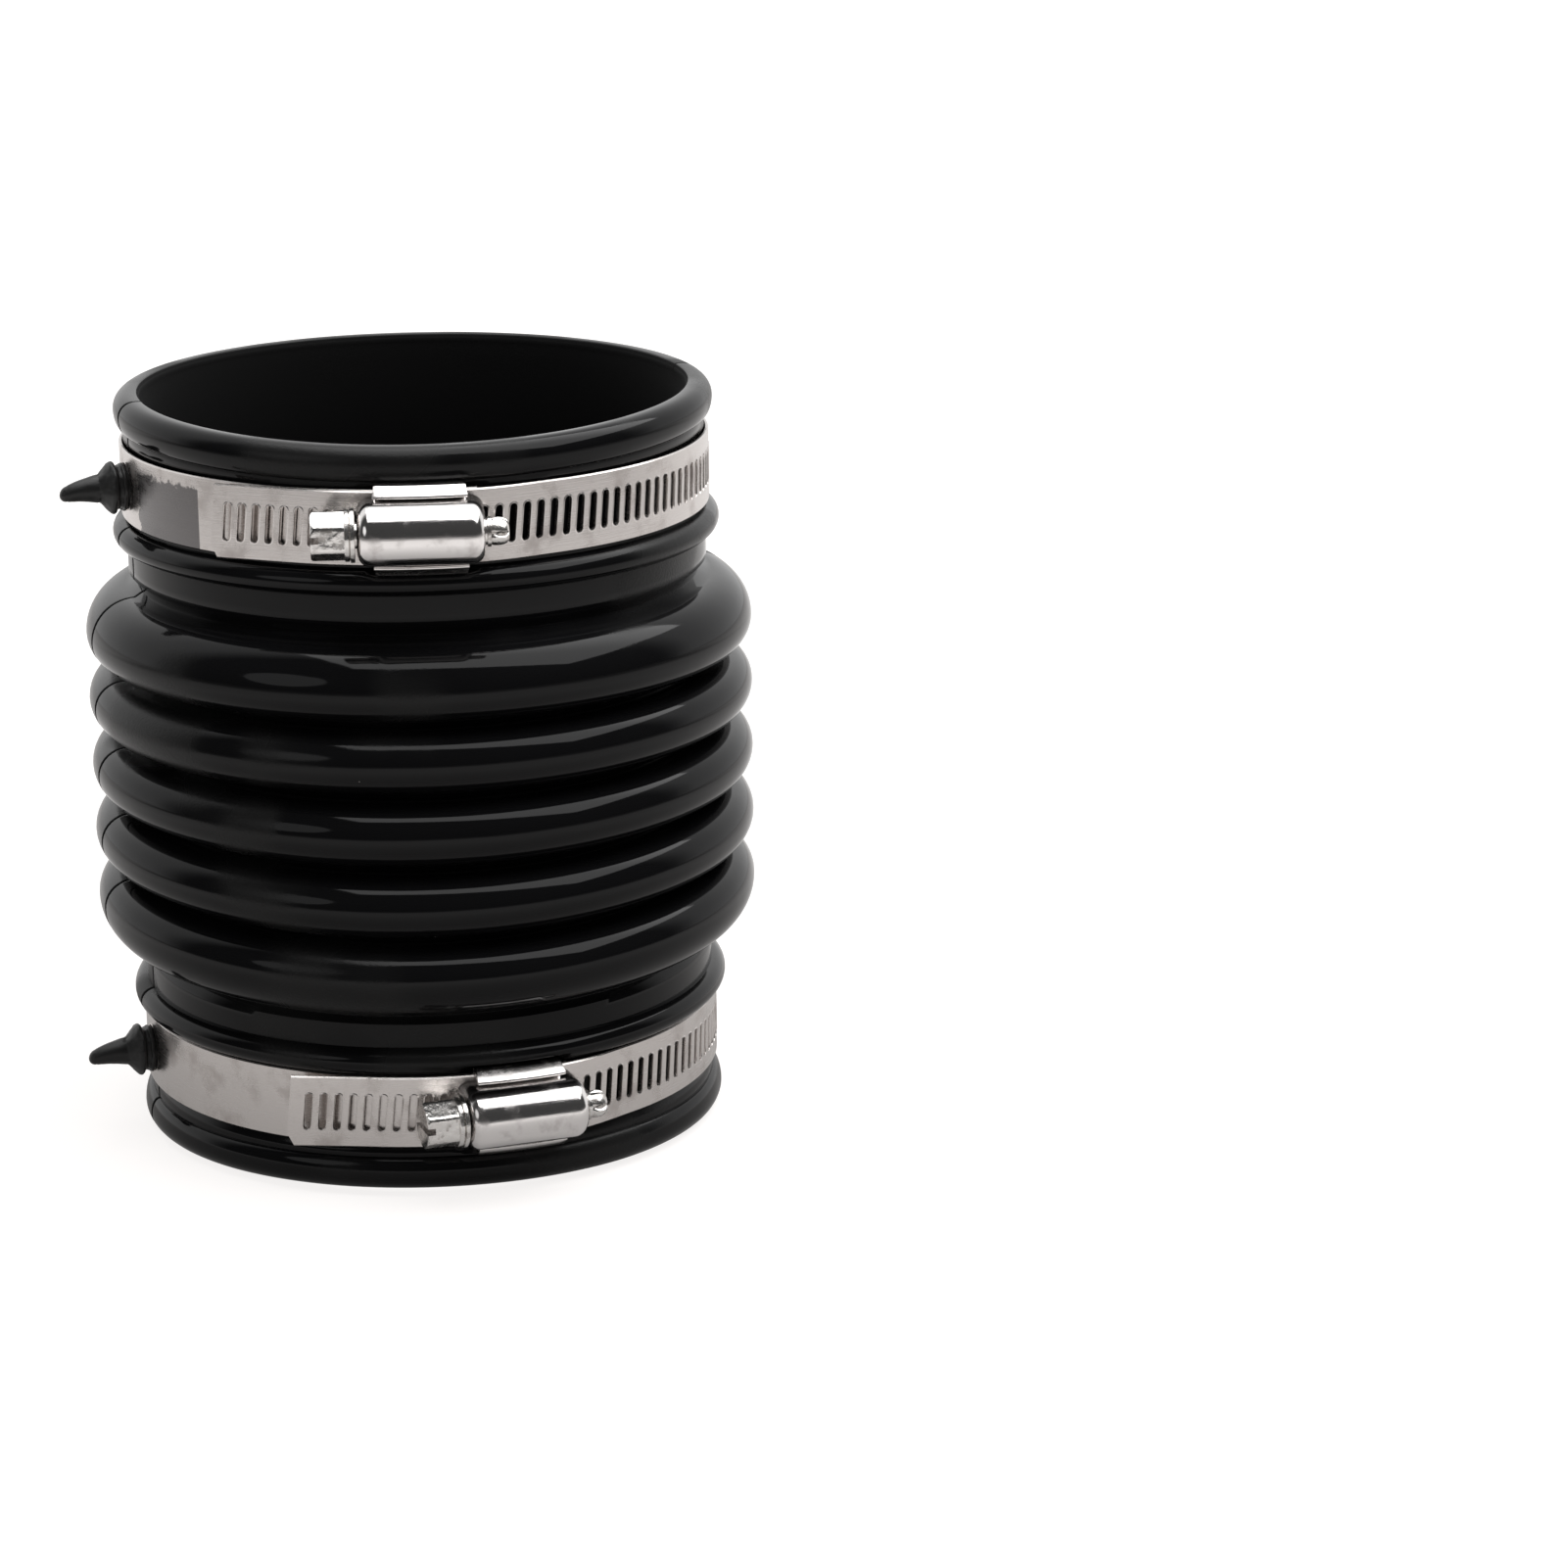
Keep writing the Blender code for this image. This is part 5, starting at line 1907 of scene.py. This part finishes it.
    def head(self) -> list[Station]:
        """Stations from the worm to the driven end.

        Returns:
            Pairs of a place along the screw and the radius of a column there.
        """
        flange = -self.housing_length / 2 - self.running_gap
        groove, hexagon = flange - self.flange_length * 0.5, flange - self.flange_length
        end, soft = hexagon - self.hex_length, 0.00012
        corner = self.across_flats / 2 / math.cos(math.radians(30))
        wide = self.flange_radius
        stations = [(-self.worm_length / 2, self.round(self.root_radius))]
        stations += [(-self.worm_length / 2, self.round(self.journal)), (flange, self.round(self.journal))]
        stations += [(flange, self.round(wide - soft)), (flange - soft, self.round(wide))]
        stations += [(groove + soft, self.round(wide)), (groove, self.round(wide - 0.0004))]
        stations += [(groove - soft, self.round(wide - 0.0002)), (hexagon + soft, self.round(wide - 0.0002))]
        stations += [(hexagon, self.round(wide - 0.0002 - soft)), (hexagon, self.hexagon(corner - 0.0001))]
        for i in range(5):
            share = i / 4
            limit = corner - 0.0001 - self.chamfer * (1 - math.cos(math.pi / 2 * share))
            stations.append((end + self.chamfer * (1 - math.sin(math.pi / 2 * share)), self.hexagon(limit)))
        return stations

    def nose(self) -> list[Station]:
        """Stations from the worm to the free end.

        Returns:
            Pairs of a place along the screw and the radius of a column there.
        """
        ring = self.housing_length / 2 + self.running_gap
        cone, wide = ring + self.ring_length, self.nose_radius
        stations = [(self.worm_length / 2, self.round(self.root_radius))]
        stations += [(self.worm_length / 2, self.round(self.journal)), (ring, self.round(self.journal))]
        stations += [(ring, self.round(wide - 0.0001)), (ring + 0.0001, self.round(wide))]
        stations += [(ring + 0.0006, self.round(wide)), (ring + 0.0007, self.cross(wide - 0.0003, 0.08))]
        stations += [(ring + 0.0011, self.cross(wide - 0.0002, 0.18))]
        stations += [(cone, self.cross(wide - 0.0002, 0.34))]
        for i in range(1, 5):
            share = i / 4
            radius = (wide - 0.0002) * math.cos(math.radians(62) * share)
            along = cone + self.cone_length * math.sin(math.pi / 2 * share)
            stations.append((along, self.cross(radius, 0.42)))
        return stations

    def build(self, steel: bpy.types.Material) -> bpy.types.Object:
        """Makes the screw on its joint's axis.

        Args:
            steel: The steel's material.

        Returns:
            The screw.
        """
        bm = bmesh.new()
        self.worm(bm)
        self.rings(bm, self.head())
        self.rings(bm, self.nose())
        bmesh.ops.remove_doubles(bm, verts=bm.verts, dist=MERGE)
        bmesh.ops.dissolve_degenerate(bm, edges=bm.edges, dist=MERGE)
        bmesh.ops.recalc_face_normals(bm, faces=bm.faces)
        mesh = bpy.data.meshes.new("screw")
        bm.to_mesh(mesh)
        bm.free()
        end = -self.housing_length / 2 - self.running_gap - self.flange_length - self.hex_length
        half, wide = self.slot_width / 2, self.across_flats
        corners = [(-wide, -half), (wide, -half), (wide, half), (-wide, half)]
        cutter = loft([[(x, y, z) for x, z in corners] for y in (end - half, end + self.slot_depth)])
        mesh = boolean(mesh, [(cutter, "DIFFERENCE")])
        place = self.seat.place @ Matrix.Translation((self.seat.screw_radius, 0, 0))
        screw = piece(self.seat.named("worm_screw"), mesh, place, 38, steel)
        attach(screw, self.seat.ending.value + "_screw")
        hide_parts(self.seat.named("screw"))
        return screw


@dataclass
class WormDriveClamp:
    """One clamp: band, saddle, housing and screw."""

    seat: ClampSeat
    nib_azimuth: float
    # where the painted shadow under the upper clamp's lifted tail lies, measured past the nib's hole
    tail_shadow_from: float = 0.0078
    tail_shadow_length: float = 0.0184

    def tail_shadow_span(self, strip: ClampBand) -> Point2:
        """Where along the upper strip the painted shadow under its lifted tail begins and ends; the lower one
        has none.

        Args:
            strip: The clamp's strip.

        Returns:
            Both ends as lengths past the worm's middle.
        """
        if self.seat.ending is Ending.LOWER:
            return (-1.0, -0.9)
        start = strip.hole_at() + self.tail_shadow_from
        return (start, start + self.tail_shadow_length)

    def build(self, screw: bpy.types.Material) -> list[bpy.types.Object]:
        """Makes the clamp's four pieces.

        Args:
            screw: The screw's material.

        Returns:
            The band, saddle, housing and screw.
        """
        name = self.seat.ending.value
        strip = ClampBand(self.seat, self.nib_azimuth)
        band = RolledBand(name + "_rolled_strip", self.tail_shadow_span(strip)).material()
        sheet = PolishedSheet(name + "_barrel_steel", self.seat.azimuth).material()
        plate = PolishedSheet(
            name + "_saddle_steel", self.seat.azimuth,
            colour=(0.74, 0.715, 0.70), roughness=0.19, smudge_roughness=0.32,
        ).material()
        housing = WormHousing(self.seat)
        return [
            strip.build(band),
            housing.saddle(plate),
            housing.housing(sheet),
            WormScrew(self.seat).build(screw),
        ]


@dataclass(frozen=True)
class Viewpoint:
    """The photograph's camera, fitted to the rims, folds and bands."""

    turn: float = math.radians(40)
    distance: float = 0.76218
    height: float = 0.26805
    yaw: float = 0.0800483
    pitch: float = 0.2727035
    roll: float = -0.0097527
    focal_pixels: float = 4733.60
    frame_pixels: float = 1601.0
    sensor: float = 36.0

    def axes(self) -> Matrix:
        """The camera's right, up and back directions as columns.

        Returns:
            The three directions as a matrix.
        """
        cy, sy, cp, sp = math.cos(self.yaw), math.sin(self.yaw), math.cos(self.pitch), math.sin(self.pitch)
        forward = Vector((sy * cp, cy * cp, -sp))
        right = Vector((cy, -sy, 0))
        up = right.cross(forward)
        cr, sr = math.cos(self.roll), math.sin(self.roll)
        columns = Matrix((cr * right + sr * up, -sr * right + cr * up, -forward))
        return columns.transposed()

    def build(self) -> bpy.types.Object:
        """Makes the camera and gives it to the scene.

        Returns:
            The camera's object.
        """
        camera = bpy.data.cameras.new("photo_camera")
        camera.sensor_width = self.sensor
        camera.lens = self.sensor * self.focal_pixels / self.frame_pixels
        camera.clip_start = 0.01
        camera.clip_end = 50.0
        thing = bpy.data.objects.new("photo_camera", camera)
        bpy.context.scene.collection.objects.link(thing)
        stand = Matrix.Translation((0, -self.distance, self.height)) @ self.axes().to_4x4()
        thing.matrix_world = Matrix.Rotation(self.turn, 4, "Z") @ stand
        bpy.context.scene.camera = thing
        return thing


@dataclass(frozen=True)
class SoftLight:
    """One softbox: where it stands as seen by the camera, how big and how strong it is."""

    name: str
    side: float
    elevation: float
    distance: float
    size: Point2
    power: float
    shape: str = "RECTANGLE"
    colour: Colour = (1.0, 1.0, 1.0)

    def build(self, turn: float, target: Vector) -> bpy.types.Object:
        """Makes the softbox, facing the object.

        Args:
            turn: The side that the camera looks from.
            target: What it lights.

        Returns:
            The light's object.
        """
        lamp = bpy.data.lights.new(self.name, "AREA")
        lamp.shape = self.shape
        lamp.size, lamp.size_y = self.size
        lamp.energy = self.power
        lamp.color = self.colour
        thing = bpy.data.objects.new(self.name, lamp)
        bpy.context.scene.collection.objects.link(thing)
        side, lift = math.radians(self.side) + turn, math.radians(self.elevation)
        away = Vector((math.sin(side) * math.cos(lift), -math.cos(side) * math.cos(lift), math.sin(lift)))
        thing.location = target + away * self.distance
        thing.rotation_mode = "QUATERNION"
        thing.rotation_quaternion = (-away).to_track_quat("-Z", "Y")
        thing.visible_camera = False
        return thing


@dataclass
class Studio:
    """A pale floor, a white background and plain soft lights."""

    turn: float
    target: Vector = field(default_factory=lambda: Vector((0, 0, 0.064)))
    floor_radius: float = 4.0
    floor_drop: float = 0.0002
    floor_colour: Colour = (0.25, 0.243, 0.238)
    floor_glow: Colour = (1.0, 0.98, 0.97)
    seen_reach: Point2 = (0.10, 0.40)
    seen_glow: Point2 = (0.86, 1.0)
    # painted shade: the floor's reflected glow is dimmer close to the object
    near_shade_reach: Point2 = (0.06, 0.24)
    near_shade_glow: Point2 = (0.24, 0.68)
    far_reach: Point2 = (0.42, 0.85)
    rear_reach: Point2 = (0.0, 0.5)
    backdrop_reach: Point2 = (-0.05, 0.30)
    backdrop_glow: Point2 = (0.05, 1.0)
    plain_glow: float = 0.30
    lights: tuple[SoftLight, ...] = (
        SoftLight("overhead_softbox", 90.0, 74.6, 1.245, (1.52, 1.7), 26.0),
        SoftLight("left_softbox", -48.0, 22.0, 1.2, (0.60, 0.55), 0.8, "ELLIPSE"),
    )

    def behind(self) -> tuple[float, float, float]:
        """The way from the object to the backdrop."""
        return (math.sin(-self.turn), math.cos(-self.turn), 0.0)

    def floor(self) -> bpy.types.Object:
        """The floor: white where the camera looks past the object, lit where it stands, and in reflections
        dimmer near the object as painted shade.

        Returns:
            The floor's object.
        """
        bm = bmesh.new()
        bmesh.ops.create_circle(bm, cap_ends=True, radius=self.floor_radius, segments=96)
        mesh = bpy.data.meshes.new("studio_floor")
        bm.to_mesh(mesh)
        bm.free()
        thing = bpy.data.objects.new("studio_floor", mesh)
        bpy.context.scene.collection.objects.link(thing)
        thing.location.z = -self.floor_drop
        material = bpy.data.materials.new("pale_floor")
        material.use_nodes = True
        w = Wiring(material.node_tree)
        w.tree.nodes.clear()
        path = w.node("ShaderNodeLightPath")
        pale = w.node("ShaderNodeBsdfDiffuse", None, {"Color": (*self.floor_colour, 1.0)}).outputs[0]
        where = w.node("ShaderNodeTexCoord").outputs["Object"]
        away = w.vector("LENGTH", where, out="Value")
        bright = w.ramp(away, *self.seen_reach, self.seen_glow)
        seen = w.maths("MULTIPLY", path.outputs["Is Camera Ray"], bright)
        mirrored = w.maths("MAXIMUM", path.outputs["Is Glossy Ray"], path.outputs["Is Transmission Ray"])
        rear = w.ramp(w.vector("DOT_PRODUCT", where, self.behind(), out="Value"), *self.rear_reach)
        lit = w.maths("MAXIMUM", w.ramp(away, *self.far_reach, (1.0, 0.0)), rear)
        # painted shade: in reflections the floor glows less close to the object, standing in for its contact
        # shadow
        near = w.maths("MULTIPLY", w.ramp(away, *self.near_shade_reach, self.near_shade_glow), lit)
        glow = w.maths("ADD", seen, w.maths("MULTIPLY", mirrored, near))
        shining = {"Color": (*self.floor_glow, 1.0), "Strength": glow}
        light = w.node("ShaderNodeEmission", None, shining).outputs[0]
        both = w.node("ShaderNodeAddShader", None, {0: pale, 1: light}).outputs[0]
        w.node("ShaderNodeOutputMaterial", None, {"Surface": both})
        mesh.materials.append(material)
        return thing

    def world(self) -> None:
        """White for the camera; in reflections white behind the object and dim before it."""
        world = bpy.data.worlds.new("studio_world")
        bpy.context.scene.world = world
        world.use_nodes = True
        w = Wiring(world.node_tree)
        w.tree.nodes.clear()
        direction = w.node("ShaderNodeTexCoord").outputs["Generated"]
        facing = w.vector("DOT_PRODUCT", direction, self.behind(), out="Value")
        backdrop = w.ramp(facing, *self.backdrop_reach, self.backdrop_glow)
        path = w.node("ShaderNodeLightPath")
        mirrored = w.maths("MAXIMUM", path.outputs["Is Glossy Ray"], path.outputs["Is Transmission Ray"])
        plain = self.plain_glow
        strength = w.maths("MULTIPLY_ADD", mirrored, w.maths("SUBTRACT", backdrop, plain), plain)
        camera = path.outputs["Is Camera Ray"]
        strength = w.maths("MULTIPLY_ADD", camera, w.maths("SUBTRACT", 1.0, strength), strength)
        light = w.node("ShaderNodeBackground", None, {"Color": (1.0, 1.0, 1.0, 1.0), "Strength": strength})
        w.node("ShaderNodeOutputWorld", None, {"Surface": light.outputs[0]})

    def build(self) -> None:
        """Sets up the floor, the background and the lights."""
        self.floor()
        self.world()
        for light in self.lights:
            light.build(self.turn, self.target)
        bpy.context.scene.view_settings.view_transform = "Standard"


def main() -> None:
    """Builds the camera, the studio, the hose and both clamps."""
    viewpoint = Viewpoint()
    viewpoint.build()
    Studio(viewpoint.turn).build()
    seats = [ClampSeat.read(ending, length) for ending, length in TAIL_LENGTHS.items()]
    rubber = MouldedRubber()
    hose = BellowsHose(seats)
    made = hose.build(rubber.material())
    screw_steel = CrinkledPlating().material()
    torn = MouldedRubber(
        "torn_matt_rubber", (0.010, 0.010, 0.010), roughness=0.42, patch_roughness=0.62, specular_level=0.40,
        rear_roughness=0.0, seam_half_width=0.0, bump_distance=0.00016, bore_radius=0.0,
    ).material()
    for seat in seats:
        made.append(RetainingNib(seat, hose.cuff_radius, hose.seam_azimuth).build(torn))
        made += WormDriveClamp(seat, hose.seam_azimuth).build(screw_steel)
    for thing in made:
        log.info("%s: %d faces", thing.name, len(thing.data.polygons))


if __name__ == "__main__":
    main()
